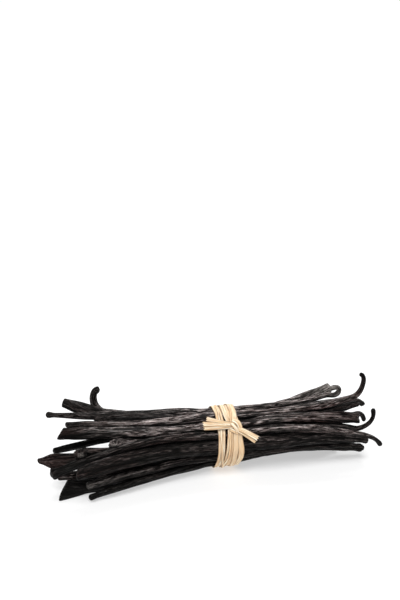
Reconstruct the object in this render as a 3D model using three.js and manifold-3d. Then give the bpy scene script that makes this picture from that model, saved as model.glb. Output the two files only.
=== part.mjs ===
// A bundle of cured vanilla pods, tied round the middle with raffia.
// Millimetres. +X runs along the bundle, +Y to its back, +Z up; it lies on the plane z = 0.
import * as THREE from "three";
import { mergeVertices } from "three/addons/utils/BufferGeometryUtils.js";
import Module from "manifold-3d";

const wasm = await Module();
wasm.setup();

// Driving dimensions of the bundle.
const bundle = {
  radius: 16.3, // of the pods, squeezed together under the tie
  height: 17.8, // of the bundle's middle over the table, at the tie
  tieLift: 1.6, // of the lowest pods over the table, at the tie
  tieHalf: 12, // half of the length that the tie squeezes
  rings: { outer: 13.4, second: 7.7, inner: 2.6 }, // where the pods' middles lie in the tie
  podWide: 4.1, // half of a full pod's width
  podDeep: 2.75, // half of its thickness
  settle: 0.3, // depth of the small flats that the lowest pods rest on
  middle: { x: 9.1, y: 2.9 }, // the tie's place in the finished part
};

// How the pods are set side by side, at cross sections along the bundle.
const setting = {
  station: 6, // length between the cross sections
  rounds: 70,
  fan: 1.3, // how late a pod leaves the bundle, as a power of its length
  squeeze: 0.97, // of two pods' thickness that stays between their middles where they touch
  part: 0.4, // of an overlap that one round takes away from each of the two
  step: 0.6, // the furthest that a pod moves sideways in one round
  hold: 0.5, // how much less a pod moves at its end
  twistLate: 3, // how late a pod twists, as a power of its length
  tighten: 0.8, // of what stands out of the tie that one round pushes in
};

// How finely the solids are cut.
const facets = {
  podSides: 8,
  podSpacing: 9.5, // between a pod's rings along its straight part
  tipRings: [0, 0.9, 2.6, 5.5], // a pod's rings from its tip
  hookSpacing: 2.4, // between the rings of a curled end
  curlSpacing: 1.5, // and of one that turns further than tightTurn
  tightTurn: 120, // in degrees
  hookSteps: 12,
  coreSides: 14,
  strandSides: 6,
  turnSteps: 24, // along one turn of a strand
  knot: [10, 7],
};

// The core that joins the pods: its ends from the middle of the tie, and its narrowing to them.
const core = { from: -42, to: 36, taper: [0.4, 0.85, 0.95] };

// The swelling at a pod's tip: how far from the very end, how long, and the rounding at the end.
const knobAt = { away: 1.4, length: 1.8, round: 0.6 };

// How far a slanted or notched cut reaches back along the pod, and where the notch begins.
const cutAt = { reach: 3.5, edge: 0.6 };

// A blunt pod end: half width, half thickness, length of the taper to it, and swelling at the tip.
const blunt = (wide, deep, taper, knob) => ({ wide, deep, taper, knob });

// A curled end past the straight pod: whole turn and last tight curl in degrees, length, how late
// the turn comes, the side it leans to and how much it waves.
const curled = (turn, length, late, curl = 0, lean = 0, wave = 0) => ({
  turn, length, late, curl, lean, wave,
});
const lastCurl = 6; // how late the tight curl comes, as a power of the length

// The pods. "at" is the angle of a pod's place in the tie, from the top towards the front. left and
// right are where its straight part ends, from the middle of the tie; a sag is how far the pod
// bows off its way there, as [y, z]. girth is its share of a full pod's width and thickness. roll
// turns its flat side off the ring, and twist turns it on towards an end. slant and notch shape the
// cut of a wide end.
const pods = [
  {
    ring: "outer", at: -46, girth: 0.9, roll: 0,
    left: {
      end: [-86.5, 24, 36.5], sag: [0, -6.5], tip: blunt(2.7, 1.5, 10, 1),
      twist: -70, notch: 0.3,
    },
    right: { end: [66.5, 17, 31.5], sag: [1.5, -5.5], tip: blunt(3, 1.4, 12, 1.05), twist: -70 },
  },
  {
    ring: "outer", at: -16, girth: 0.86, roll: 0,
    left: { end: [-97, 12, 34.5], sag: [1.5, -2.5], tip: blunt(1.3, 1.2, 30, 1.45) },
    right: {
      end: [61.5, 9, 29.5], sag: [1, -4.5], tip: blunt(1.5, 1.4, 36, 1),
      hook: curled(415, 16, 1.7, -265, 0, -85),
    },
  },
  {
    ring: "outer", at: 13, girth: 0.86, roll: -20,
    left: { end: [-87.5, 0, 32.5], sag: [0, -2.5], tip: blunt(2.3, 1.8, 14, 1), slant: 0.5 },
    right: {
      end: [73, -2, 32], sag: [0, -4], tip: blunt(1.4, 1.2, 24, 1),
      hook: curled(90, 18, 4, 85, 0, 55),
    },
  },
  {
    ring: "outer", at: 40, girth: 0.9, roll: -45,
    left: {
      end: [-91.5, -6, 31], sag: [-1, -0.5], tip: blunt(2.9, 1.7, 14, 1.15),
      twist: 60, slant: -0.6, notch: 0.6,
    },
    right: {
      end: [76, -6, 22.5], sag: [-2, 3.5], tip: blunt(2.9, 1.6, 12, 1.1),
      twist: 60, notch: 1.1,
    },
  },
  {
    ring: "outer", at: 65, girth: 0.76, roll: 60,
    left: { end: [-99, -23, 17.5], sag: [0, 5.5], tip: blunt(2.7, 2.5, 14, 1.3) },
    right: {
      end: [65, -17, 20.5], sag: [-0.5, 2.5], tip: blunt(1.1, 1, 20, 1.25),
      hook: curled(-40, 24, 1.9, -20),
    },
  },
  {
    ring: "outer", at: 90, girth: 1.05, roll: -28,
    left: { end: [-86, -27, 22], sag: [2.5, 4.5], tip: blunt(3.4, 1.8, 12, 1), slant: -0.4 },
    right: { end: [80, -12, 15], sag: [0, 5.5], tip: blunt(1.8, 1.6, 26, 1.2) },
  },
  {
    ring: "outer", at: 119, girth: 0.92, roll: 30,
    left: { end: [-80.5, -27, 8], sag: [2.5, -1.5], tip: blunt(2.2, 1.9, 12, 1.05) },
    right: { end: [77.5, -8, 7], sag: [0, 3.5], tip: blunt(2.7, 1.9, 12, 1.3), notch: 0.5 },
  },
  {
    ring: "outer", at: 148, girth: 0.82, roll: 0,
    left: { end: [-79.5, -25.5, 4.5], sag: [0, 2], tip: blunt(1.6, 1.5, 16, 1.15) },
    right: { end: [66, 4, 2.5], sag: [2, 2], tip: blunt(1.6, 1.5, 16, 1.6) },
  },
  {
    ring: "outer", at: 179, girth: 0.98, roll: 0,
    left: { end: [-94, -5, 5], sag: [0, -2], tip: blunt(2, 1.7, 14, 1.2) },
    right: { end: [70, 13, 3], sag: [0, 0], tip: blunt(1.4, 1.3, 20, 1.2) },
  },
  {
    ring: "outer", at: 212, girth: 1, roll: 0,
    left: { end: [-84, 13, 3], sag: [0, 0], tip: blunt(2.3, 1.8, 14, 1.1) },
    right: { end: [60, 22, 4], sag: [0, 0], tip: blunt(1.2, 1.1, 20, 1.1) },
  },
  {
    ring: "outer", at: 245, girth: 0.95, roll: 0,
    left: { end: [-62, 20, 5], sag: [0, 0], tip: blunt(2, 1.7, 14, 1.2) },
    right: { end: [68, 25, 10], sag: [0, 0], tip: blunt(1.4, 1.3, 20, 1.2) },
  },
  {
    ring: "outer", at: 281, girth: 0.95, roll: 0,
    left: {
      end: [-64.5, 22, 28], sag: [0, -1.5], tip: blunt(1.8, 1.7, 20, 1.2),
      hook: curled(75, 18, 0.55, 110, 0, 15),
    },
    right: { end: [62, 23, 17], sag: [0, 0], tip: blunt(1.4, 1.3, 20, 1.2) },
  },
  {
    ring: "second", at: -5, girth: 0.9, roll: 0,
    left: { end: [-71.5, 6, 31.5], sag: [0, 3.5], tip: blunt(1.2, 1.1, 16, 1) },
    right: {
      end: [79.5, 8, 27], sag: [0, 2], tip: blunt(1.5, 1.4, 16, 1.15),
      hook: curled(10, 5.5, 1.8, -55, 0, -40),
    },
  },
  {
    ring: "second", at: 40, girth: 0.9, roll: -50,
    left: { end: [-58, -1, 28], sag: [0, 0], tip: blunt(2, 1.6, 14, 1.1) },
    right: { end: [78, 1, 31.5], sag: [0, 0], tip: blunt(2.2, 1.7, 14, 1) },
  },
  {
    ring: "second", at: 72, girth: 0.82, roll: -80,
    left: {
      end: [-60, -18, 28.5], sag: [2.5, 0.5], tip: blunt(3.2, 3.1, 10, 1.15),
      hook: curled(70, 7, 1, 0, -80),
    },
    right: {
      end: [77, -2, 24.5], sag: [0, 0], tip: blunt(1.4, 1.3, 20, 1),
      hook: curled(-125, 8, 1.1, 80),
    },
  },
  {
    ring: "second", at: 105, girth: 0.86, roll: 40,
    left: {
      end: [-79.5, -15, 23.5], sag: [5.5, -3], tip: blunt(3.3, 3.1, 10, 1.1),
      hook: curled(70, 7, 1, 0, -80),
    },
    right: {
      end: [73.5, -8.5, 20], sag: [0, 7.5], tip: blunt(1.3, 1.2, 24, 1.2),
      hook: curled(155, 17.5, 0.7, -40, 0, -35),
    },
  },
  {
    ring: "second", at: 145, girth: 1.08, roll: 0,
    left: {
      end: [-93, -20, 3.5], sag: [-1, -4.5], tip: blunt(5.2, 1.9, 18, 1),
      twist: -85, slant: -0.7,
    },
    right: { end: [79, -7, 4.5], sag: [0, 3.5], tip: blunt(1.7, 1.5, 14, 1.1) },
  },
  {
    ring: "second", at: 225, girth: 0.95, roll: 0,
    left: { end: [-62, 6, 9], sag: [0, 0], tip: blunt(2.2, 1.8, 14, 1.1) },
    right: { end: [62, 12, 10], sag: [0, 0], tip: blunt(1.4, 1.3, 20, 1.2) },
  },
  {
    ring: "second", at: 300, girth: 0.62, roll: 0,
    left: { end: [-95, 2, 17.5], sag: [0.5, 2], tip: blunt(2, 1.8, 12, 1) },
    right: { end: [62, 6, 20], sag: [0, 0], tip: blunt(1.4, 1.3, 20, 1.2) },
  },
  {
    ring: "inner", at: 240, girth: 1.06, roll: 0,
    left: { end: [-104.5, -10, 19.5], sag: [-3, -4], tip: blunt(1.5, 1, 9, 1), slant: -0.3 },
    right: { end: [60, 4, 15], sag: [0, 0], tip: blunt(1.4, 1.3, 20, 1.2) },
  },
];

// The tie: strands side by side, wound round the pods and knotted at the upper front.
const tie = {
  gap: 0.35, // between the strands and the pods
  strandWide: 1.12, // half of a strand's width
  strandThick: 0.45, // half of its thickness
  layer: 0.1, // every second strand lies this much higher
  angles: [-20, 44, 90, 140, 250], // where each strand's place along the bundle is given
  places: [
    [-4.7, -5.3, -5.8, -6.9, -4.8],
    [-2.9, -3.2, -3.9, -4.9, -3.1],
    [-1.1, -0.6, -1.4, -2.7, -1.4],
    [0.8, 1.4, 1, -0.4, 0.3],
    [2.8, 3.3, 3.5, 2.2, 2.1],
    [4.6, 5, 6, 4.8, 3.9],
  ],
  ground: 0.05, // the lowest that a strand comes over the table
  knot: { x: 3.3, degrees: 47, height: 1.9, size: [3.2, 3.1, 1.9] },
  // Cut ends that leave the knot, as [x, degrees from the top, height over the pods].
  tails: [
    { way: [[3, 44, 2], [-4, 39, 2.8], [-12, 31, 3.5]], wide: 1.2, thick: 0.5 },
    { way: [[3, 45, 1.9], [-5, 43, 2.6], [-14.4, 39.5, 3.2]], wide: 1.3, thick: 0.5 },
    { way: [[3, 47, 1.7], [-5, 47, 2.3], [-14.2, 46, 2.8]], wide: 1.2, thick: 0.5 },
    { way: [[3, 49, 2], [8.5, 59, 2.4], [15, 72, 2.6]], wide: 1.3, thick: 0.55 },
    { way: [[3, 52, 1.8], [8.5, 65, 2.1], [13.4, 78, 2.3]], wide: 1.1, thick: 0.5 },
  ],
};

const radians = THREE.MathUtils.degToRad;
const clamp = THREE.MathUtils.clamp;
const sideOf = (x) => (x < 0 ? "left" : "right");
const eased = (share) => share * share * (3 - 2 * share);

// ---- where the pods lie --------------------------------------------------------------------

// Half width and half thickness of a pod, at a length from one end's very tip.
function sizesFromTip(pod, side, away) {
  const { tip, hook } = pod[side];
  const reach = tip.taper + (hook ? hook.length : 0);
  const share = clamp(away / reach, 0, 1);
  const full = hook ? share ** setting.fan : eased(share);
  const swell = 1 + (tip.knob - 1) * Math.exp(-(((away - knobAt.away) / knobAt.length) ** 2));
  return {
    wide: (tip.wide + (bundle.podWide * pod.girth - tip.wide) * full) * swell,
    deep: (tip.deep + (bundle.podDeep * pod.girth - tip.deep) * full) * swell,
  };
}

// The direction of a pod's flat side across the bundle, at a place along it.
function flatWay(pod, x) {
  const { end, twist = 0 } = pod[sideOf(x)];
  const share = Math.min(1, Math.abs(x / end[0]));
  const angle = radians(pod.at + pod.roll + twist * share ** setting.twistLate);
  return [Math.cos(angle), Math.sin(angle)];
}

// The same sizes at a cross section x of the straight part.
function sizesAt(pod, x) {
  const { end, hook } = pod[sideOf(x)];
  return sizesFromTip(pod, sideOf(x), Math.abs(end[0] - x) + (hook ? hook.length : 0));
}

// A pod's cross sections by station number, on its own smooth way from the tie to both ends.
function firstRoute(pod) {
  const around = radians(pod.at);
  const radius = bundle.rings[pod.ring];
  const slot = [-radius * Math.sin(around), bundle.height + radius * Math.cos(around)];
  const first = Math.ceil(pod.left.end[0] / setting.station);
  const last = Math.floor(pod.right.end[0] / setting.station);
  const route = [];
  for (let number = first; number <= last; number++) {
    const x = number * setting.station;
    const { end, sag } = pod[sideOf(x)];
    const share = Math.abs(x / end[0]);
    const fan = share ** setting.fan;
    const bow = Math.sin(Math.PI * share);
    const size = sizesAt(pod, x);
    const start = [
      slot[0] + (end[1] - slot[0]) * fan + sag[0] * bow,
      slot[1] + (end[2] - slot[1]) * fan + sag[1] * bow,
    ];
    route.push({
      x, share, start, place: [...start], push: [0, 0],
      radius: size.deep,
      half: size.wide - size.deep,
      flat: flatWay(pod, x),
    });
  }
  return route;
}

// The shortest way between two flat sections, each a short line with round ends.
function wayBetween(one, two) {
  let best = { length: Infinity, way: [0, 0] };
  const tryEnds = (from, to, turn) => {
    for (const sign of [-1, 1]) {
      const end = [0, 1].map((i) => from.place[i] + sign * from.half * from.flat[i]);
      const off = [0, 1].map((i) => end[i] - to.place[i]);
      const along = clamp(off[0] * to.flat[0] + off[1] * to.flat[1], -to.half, to.half);
      const way = [0, 1].map((i) => turn * (to.place[i] + along * to.flat[i] - end[i]));
      const length = Math.hypot(...way);
      if (length < best.length) best = { length, way };
    }
  };
  tryEnds(one, two, 1);
  tryEnds(two, one, -1);
  return best;
}

// Pushes two sections at the same station apart where they run into each other.
function pushApart(one, two) {
  const between = [0, 1].map((i) => two.place[i] - one.place[i]);
  const reach = one.half + one.radius + two.half + two.radius;
  if (Math.hypot(...between) > reach) return;
  const { length, way } = wayBetween(one, two);
  const wanted = (one.radius + two.radius) * setting.squeeze;
  if (length >= wanted) return;
  const direction = length > 1e-6 ? way : between;
  const scale = (setting.part * (wanted - length)) / (Math.hypot(...direction) || 1);
  for (const i of [0, 1]) {
    one.push[i] -= direction[i] * scale;
    two.push[i] += direction[i] * scale;
  }
}

// Evens a pod's sideways moves out along its length, so that it stays smooth.
function smoothRoute(route) {
  let moves = route.map((spot) => [0, 1].map((i) => spot.place[i] - spot.start[i]));
  for (let pass = 0; pass < 2; pass++) {
    moves = moves.map((move, k) => {
      const before = moves[Math.max(0, k - 1)];
      const after = moves[Math.min(moves.length - 1, k + 1)];
      return [0, 1].map((i) => 0.5 * move[i] + 0.25 * (before[i] + after[i]));
    });
  }
  route.forEach((spot, k) => {
    spot.place = [0, 1].map((i) => spot.start[i] + moves[k][i]);
  });
}

// Holds a section inside the tie and above the table.
function holdSection(spot) {
  const inTie = Math.abs(spot.x) <= bundle.tieHalf;
  if (inTie) {
    const off = [spot.place[0], spot.place[1] - bundle.height];
    const far = Math.hypot(...off) || 1;
    const across = Math.abs(off[0] * spot.flat[0] + off[1] * spot.flat[1]) / far;
    const over = far + spot.radius + spot.half * across - bundle.radius;
    const inward = (Math.max(over, 0) * setting.tighten) / far;
    [0, 1].forEach((i) => (spot.place[i] -= off[i] * inward));
  }
  const lowest = spot.radius + spot.half * Math.abs(spot.flat[1]);
  const ground = inTie ? bundle.tieLift : -bundle.settle;
  spot.place[1] = Math.max(spot.place[1], lowest + ground);
}

// Sets all pods side by side: none inside another, all inside the tie.
function layPods() {
  const routes = pods.map(firstRoute);
  const sections = new Map();
  for (const route of routes) {
    for (const spot of route) {
      if (!sections.has(spot.x)) sections.set(spot.x, []);
      sections.get(spot.x).push(spot);
    }
  }
  for (let round = 0; round < setting.rounds; round++) {
    for (const spots of sections.values()) {
      spots.forEach((one, k) => spots.slice(k + 1).forEach((two) => pushApart(one, two)));
    }
    for (const route of routes) {
      for (const spot of route) {
        const length = Math.hypot(...spot.push);
        const free = (1 - setting.hold * spot.share ** 2) * Math.min(1, setting.step / (length || 1));
        [0, 1].forEach((i) => (spot.place[i] += spot.push[i] * free));
        spot.push = [0, 0];
      }
      smoothRoute(route);
      route.forEach(holdSection);
    }
  }
  return routes;
}

// ---- a pod's solid -------------------------------------------------------------------------

// The points of a curled end that leaves a base in a direction.
function hookPoints(base, direction, hook) {
  const steps = facets.hookSteps;
  const forward = direction.clone().normalize();
  const lean = radians(hook.lean);
  const up = new THREE.Vector3(0, Math.sin(lean), Math.cos(lean));
  up.addScaledVector(forward, -up.dot(forward)).normalize();
  const points = [];
  const point = base.clone();
  for (let k = 0; k < steps; k++) {
    const share = (k + 0.5) / steps;
    const turn = hook.turn * share ** hook.late + hook.curl * share ** lastCurl;
    const heading = radians(turn + hook.wave * Math.sin(Math.PI * share));
    point.addScaledVector(forward, (Math.cos(heading) * hook.length) / steps);
    point.addScaledVector(up, (Math.sin(heading) * hook.length) / steps);
    points.push(point.clone());
  }
  return points;
}

// A pod's middle line from its left tip to its right tip.
function podCurve(pod, route) {
  const body = route.map((spot) => new THREE.Vector3(spot.x, ...spot.place));
  const endPoint = (side, spot) => {
    const [x, y, z] = pod[side].end;
    const move = [0, 1].map((i) => spot.place[i] - spot.start[i]);
    return new THREE.Vector3(x, y + move[0], z + move[1]);
  };
  const left = endPoint("left", route[0]);
  const right = endPoint("right", route[route.length - 1]);
  const inside = body.filter((p) => p.x > left.x + 2 && p.x < right.x - 2);
  const points = [left, ...inside, right];
  if (pod.left.hook) {
    const away = points[0].clone().sub(points[1]);
    points.unshift(...hookPoints(points[0], away, pod.left.hook).reverse());
  }
  if (pod.right.hook) {
    const away = right.clone().sub(points[points.length - 2]);
    points.push(...hookPoints(right, away, pod.right.hook));
  }
  const curve = new THREE.CatmullRomCurve3(points, false, "centripetal");
  curve.arcLengthDivisions = 400;
  return curve;
}

// Where a pod's rings lie, as lengths from its left tip: close at the tips and in the curls.
function ringLengths(pod, length) {
  const fromEnd = (side) => {
    const places = [...facets.tipRings];
    const hook = pod[side].hook;
    const close = hook ? hook.length + 2 : 0;
    const tight = hook && Math.abs(hook.turn + hook.curl) > facets.tightTurn;
    const spacing = tight ? facets.curlSpacing : facets.hookSpacing;
    while (places[places.length - 1] < close) places.push(places[places.length - 1] + spacing);
    return places;
  };
  const left = fromEnd("left");
  const right = fromEnd("right").map((away) => length - away);
  const from = left[left.length - 1];
  const to = right[right.length - 1];
  const count = Math.round((to - from) / facets.podSpacing);
  const between = Array.from({ length: count - 1 }, (_, k) => from + ((to - from) * (k + 1)) / count);
  return [...left, ...between, ...right.reverse()];
}

// A ring's middle, directions and sizes. The wide direction follows the pod's flat side in the
// straight part, and is carried along in the curls.
function podRings(pod, route) {
  const curve = podCurve(pod, route);
  const length = curve.getLength();
  const leftHook = pod.left.hook ? pod.left.hook.length : 0;
  const rightHook = pod.right.hook ? pod.right.hook.length : 0;
  const rings = ringLengths(pod, length).map((along) => {
    const share = along / length;
    const middle = curve.getPointAt(share);
    const side = along < length / 2 ? "left" : "right";
    const away = side === "left" ? along : length - along;
    const size = sizesFromTip(pod, side, away);
    const round = along === 0 || along === length ? knobAt.round : 1;
    return {
      middle,
      side,
      away,
      forward: curve.getTangentAt(share),
      straight: along > leftHook && along < length - rightHook,
      wide: size.wide * round,
      deep: size.deep * round,
    };
  });
  const square = (direction, forward) =>
    direction.clone().addScaledVector(forward, -direction.dot(forward)).normalize();
  const centre = Math.floor(rings.length / 2);
  for (const step of [-1, 1]) {
    let carried = new THREE.Vector3();
    for (let k = centre; k >= 0 && k < rings.length; k += step) {
      const ring = rings[k];
      if (ring.straight) carried.set(0, ...flatWay(pod, ring.middle.x));
      carried = square(carried, ring.forward);
      ring.across = carried;
      ring.through = carried.clone().cross(ring.forward);
    }
  }
  return rings;
}

// A closed cylinder, given its merged corners one by one, as a solid.
function cylinderSolid(sides, heights, placeCorner) {
  const cylinder = new THREE.CylinderGeometry(1, 1, 1, sides, heights, false);
  cylinder.deleteAttribute("normal");
  cylinder.deleteAttribute("uv");
  const merged = mergeVertices(cylinder);
  const position = merged.attributes.position;
  const corner = new THREE.Vector3();
  for (let k = 0; k < position.count; k++) {
    corner.fromBufferAttribute(position, k);
    const level = Math.round((corner.y + 0.5) * heights);
    const moved = placeCorner(level, corner.x, corner.z);
    position.setXYZ(k, moved.x, moved.y, moved.z);
  }
  return solidOf(merged);
}

function solidOf(geometry) {
  return new wasm.Manifold(
    new wasm.Mesh({
      numProp: 3,
      vertProperties: Float32Array.from(geometry.attributes.position.array),
      triVerts: Uint32Array.from(geometry.index.array),
    }),
  );
}

function podSolid(pod, route) {
  const rings = podRings(pod, route);
  return cylinderSolid(facets.podSides, rings.length - 1, (level, across, through) => {
    const ring = rings[level];
    const { slant = 0, notch = 0 } = pod[ring.side];
    const cut = slant * across + notch * (Math.abs(across) - cutAt.edge);
    const outward = ring.side === "left" ? -1 : 1;
    const lengthways = outward * cut * ring.wide * Math.exp(-ring.away / cutAt.reach);
    return ring.middle
      .clone()
      .addScaledVector(ring.across, across * ring.wide)
      .addScaledVector(ring.through, through * ring.deep)
      .addScaledVector(ring.forward, lengthways);
  });
}

// ---- the core that joins the pods ----------------------------------------------------------

// How far the pods' middles reach from their common middle at one station, in each direction.
function reachAround(places, directions) {
  const middle = [0, 1].map((i) => places.reduce((sum, p) => sum + p[i], 0) / places.length);
  const support = directions.map(([c, s]) =>
    Math.max(...places.map((p) => (p[0] - middle[0]) * c + (p[1] - middle[1]) * s)),
  );
  const reach = directions.map(([c, s]) => {
    const limits = directions.map(([c2, s2], k) => {
      const facing = c * c2 + s * s2;
      return facing > 0.05 ? support[k] / facing : Infinity;
    });
    return Math.min(...limits);
  });
  return { middle, reach };
}

function coreSolid(routes) {
  const sides = facets.coreSides;
  const heights = (core.to - core.from) / setting.station;
  const directions = Array.from({ length: sides }, (_, k) => {
    const angle = (2 * Math.PI * k) / sides;
    return [-Math.sin(angle), Math.cos(angle)];
  });
  const levels = Array.from({ length: heights + 1 }, (_, level) => {
    const x = core.from + level * setting.station;
    const places = routes.flatMap((route) =>
      route.filter((spot) => spot.x === x).map((spot) => spot.place),
    );
    const inward = Math.min(level, heights - level);
    const taper = core.taper[Math.min(inward, core.taper.length - 1)];
    return { x, taper, ...reachAround(places, directions) };
  });
  return cylinderSolid(sides, heights, (level, across, through) => {
    const { x, taper, middle, reach } = levels[level];
    const turn = Math.atan2(across, through);
    const number = Math.round((turn / (2 * Math.PI)) * sides);
    const length = Math.hypot(across, through) * taper * reach[(number + sides) % sides];
    return new THREE.Vector3(
      x,
      middle[0] - Math.sin(turn) * length,
      middle[1] + Math.cos(turn) * length,
    );
  });
}

// ---- the tie -------------------------------------------------------------------------------

// The tight outline round all pods in the tie: how far it reaches in each direction, and where.
function tieOutline(routes) {
  const spots = routes.flat().filter((spot) => Math.abs(spot.x) <= bundle.tieHalf);
  return (angle) => {
    const outward = [-Math.sin(angle), Math.cos(angle)];
    return Math.max(
      ...spots.map((spot) => {
        const off = spot.place[0] * outward[0] + (spot.place[1] - bundle.height) * outward[1];
        const across = Math.abs(spot.flat[0] * outward[0] + spot.flat[1] * outward[1]);
        return off + spot.radius + spot.half * across;
      }),
    );
  };
}

// A point over the outline, at an angle from the top towards the front.
function overOutline(reachAt, angle, height, x) {
  const small = 0.02;
  const reach = reachAt(angle) + height;
  const change = (reachAt(angle + small) - reachAt(angle - small)) / (2 * small);
  const outward = [-Math.sin(angle), Math.cos(angle)];
  const sideways = [-Math.cos(angle), -Math.sin(angle)];
  return new THREE.Vector3(
    x,
    outward[0] * reach + sideways[0] * change,
    bundle.height + outward[1] * reach + sideways[1] * change,
  );
}

// A strand's place along the bundle at an angle, on a smooth closed way through its given places.
function strandPlace(places, degrees) {
  const count = tie.angles.length;
  const turned = ((degrees - tie.angles[0] + 720) % 360) + tie.angles[0];
  let k = count - 1;
  while (k > 0 && turned < tie.angles[k]) k--;
  const from = tie.angles[k];
  const to = k + 1 < count ? tie.angles[k + 1] : tie.angles[0] + 360;
  const share = (turned - from) / (to - from);
  return places[k] + (places[(k + 1) % count] - places[k]) * eased(share);
}

// One turn of a strand right round the pods: a closed ring, given its merged corners one by one.
function turnSolid(reachAt, places, height) {
  const tube = 0.25;
  const ring = new THREE.TorusGeometry(1, tube, facets.strandSides, facets.turnSteps);
  ring.deleteAttribute("normal");
  ring.deleteAttribute("uv");
  const merged = mergeVertices(ring);
  const position = merged.attributes.position;
  const corner = new THREE.Vector3();
  for (let k = 0; k < position.count; k++) {
    corner.fromBufferAttribute(position, k);
    const angle = Math.atan2(corner.y, corner.x);
    const outward = (Math.hypot(corner.x, corner.y) - 1) / tube;
    const middle = strandPlace(places, THREE.MathUtils.radToDeg(angle));
    const x = middle + (corner.z / tube) * tie.strandWide;
    const moved = overOutline(reachAt, angle, height + outward * tie.strandThick, x);
    position.setXYZ(k, moved.x, moved.y, Math.max(moved.z, tie.ground));
  }
  return solidOf(merged);
}

// A loose strand over the pods, along places given as [x, degrees from the top, height].
function looseSolid(reachAt, places, wide, thick) {
  const points = places.map(([x, degrees, height]) => overOutline(reachAt, radians(degrees), height, x));
  const curve = new THREE.CatmullRomCurve3(points, false, "centripetal");
  const heights = 3 * (places.length - 1);
  const rings = Array.from({ length: heights + 1 }, (_, level) => {
    const middle = curve.getPointAt(level / heights);
    const forward = curve.getTangentAt(level / heights);
    const outward = new THREE.Vector3(0, middle.y, middle.z - bundle.height).normalize();
    outward.addScaledVector(forward, -outward.dot(forward)).normalize();
    return { middle, outward, across: forward.clone().cross(outward) };
  });
  return cylinderSolid(facets.strandSides, heights, (level, across, through) => {
    const { middle, outward, across: sideways } = rings[level];
    return middle
      .clone()
      .addScaledVector(sideways, across * wide)
      .addScaledVector(outward, through * thick);
  });
}

// The knot's body: a squashed ball over the strands.
function knotSolid(reachAt) {
  const { x, degrees, height, size } = tie.knot;
  const middle = overOutline(reachAt, radians(degrees), height, x);
  const ball = new THREE.SphereGeometry(1, ...facets.knot);
  ball.deleteAttribute("normal");
  ball.deleteAttribute("uv");
  ball.scale(size[0], size[1], size[2]);
  ball.rotateX(radians(degrees));
  ball.translate(middle.x, middle.y, middle.z);
  return solidOf(mergeVertices(ball));
}

function tieSolid(routes) {
  const reachAt = tieOutline(routes);
  const base = tie.gap + tie.strandThick;
  const turns = tie.places.map((places, k) => turnSolid(reachAt, places, base + (k % 2) * tie.layer));
  const tails = tie.tails.map(({ way, wide, thick }) => looseSolid(reachAt, way, wide, thick));
  return wasm.Manifold.union([...turns, knotSolid(reachAt), ...tails]);
}

// ---- the finished part ---------------------------------------------------------------------

// The largest single body of a solid, without loose scraps and sealed hollows.
function mainBody(solid) {
  const bodies = solid.decompose();
  return bodies.reduce((best, body) => (body.volume() > best.volume() ? body : best));
}

// Cuts away what reaches under the table.
function cutAtTable(solid) {
  const size = 400; // wider than the bundle is long
  const slab = new THREE.BoxGeometry(size, size, size);
  slab.translate(0, 0, -size / 2);
  slab.deleteAttribute("normal");
  slab.deleteAttribute("uv");
  return solid.subtract(solidOf(mergeVertices(slab)));
}

function meshOf(solid, name, material) {
  const { vertProperties, triVerts } = mainBody(solid).getMesh();
  const geometry = new THREE.BufferGeometry();
  geometry.setAttribute("position", new THREE.BufferAttribute(Float32Array.from(vertProperties), 3));
  geometry.setIndex(new THREE.BufferAttribute(Uint32Array.from(triVerts), 1));
  geometry.computeVertexNormals();
  const mesh = new THREE.Mesh(geometry, material);
  mesh.name = name;
  return mesh;
}

const routes = layPods();
const joined = wasm.Manifold.union([
  coreSolid(routes),
  ...pods.map((pod, k) => podSolid(pod, routes[k])),
]);

const podMaterial = new THREE.MeshStandardMaterial({ color: 0x2c2220, roughness: 0.5, metalness: 0 });
const tieMaterial = new THREE.MeshStandardMaterial({ color: 0xdfc391, roughness: 0.75, metalness: 0 });

const bundleGroup = new THREE.Group();
bundleGroup.add(meshOf(cutAtTable(joined), "vanilla_pods", podMaterial));
bundleGroup.add(meshOf(tieSolid(routes), "raffia_tie", tieMaterial));
bundleGroup.position.set(bundle.middle.x, bundle.middle.y, 0);

export default bundleGroup;
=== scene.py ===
import math

import bpy
import numpy as np
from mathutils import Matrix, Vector, noise


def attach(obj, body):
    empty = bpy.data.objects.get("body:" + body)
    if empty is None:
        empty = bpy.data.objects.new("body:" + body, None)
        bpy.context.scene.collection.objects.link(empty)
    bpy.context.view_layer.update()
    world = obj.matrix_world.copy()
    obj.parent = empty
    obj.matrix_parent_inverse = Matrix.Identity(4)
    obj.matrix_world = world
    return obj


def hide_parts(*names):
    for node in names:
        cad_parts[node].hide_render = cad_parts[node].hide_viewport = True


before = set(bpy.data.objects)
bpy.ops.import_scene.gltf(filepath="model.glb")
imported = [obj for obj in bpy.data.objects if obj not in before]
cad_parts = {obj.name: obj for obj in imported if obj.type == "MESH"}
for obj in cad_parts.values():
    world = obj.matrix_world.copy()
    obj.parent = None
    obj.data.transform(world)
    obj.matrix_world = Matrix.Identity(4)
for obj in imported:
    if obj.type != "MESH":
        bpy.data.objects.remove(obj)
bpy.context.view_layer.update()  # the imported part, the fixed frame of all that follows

mm = 0.001  # lengths are in millimetres, from the point of the surface below the tie's middle
print("frame loaded:", ", ".join(sorted(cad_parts)))


# How the pods lie side by side under the tie.
bundle = {
    "radius": 16.3,  # of the pods, squeezed together under the tie
    "height": 17.8,  # of the bundle's middle over the surface, at the tie
    "tieLift": 1.6,  # of the lowest pods over the surface, at the tie
    "tieHalf": 12,  # half of the length that the tie squeezes
    "rings": {"outer": 13.4, "second": 7.7, "inner": 2.6},  # where the pods' middles lie in the tie
    "podWide": 4.1,  # half of a full pod's width
    "podDeep": 2.75,  # half of its thickness
    "settle": 0.3,  # depth of the small flats that the lowest pods rest on
    "middle": (9.1, 2.9),  # the tie's place in the finished part
}

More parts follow.
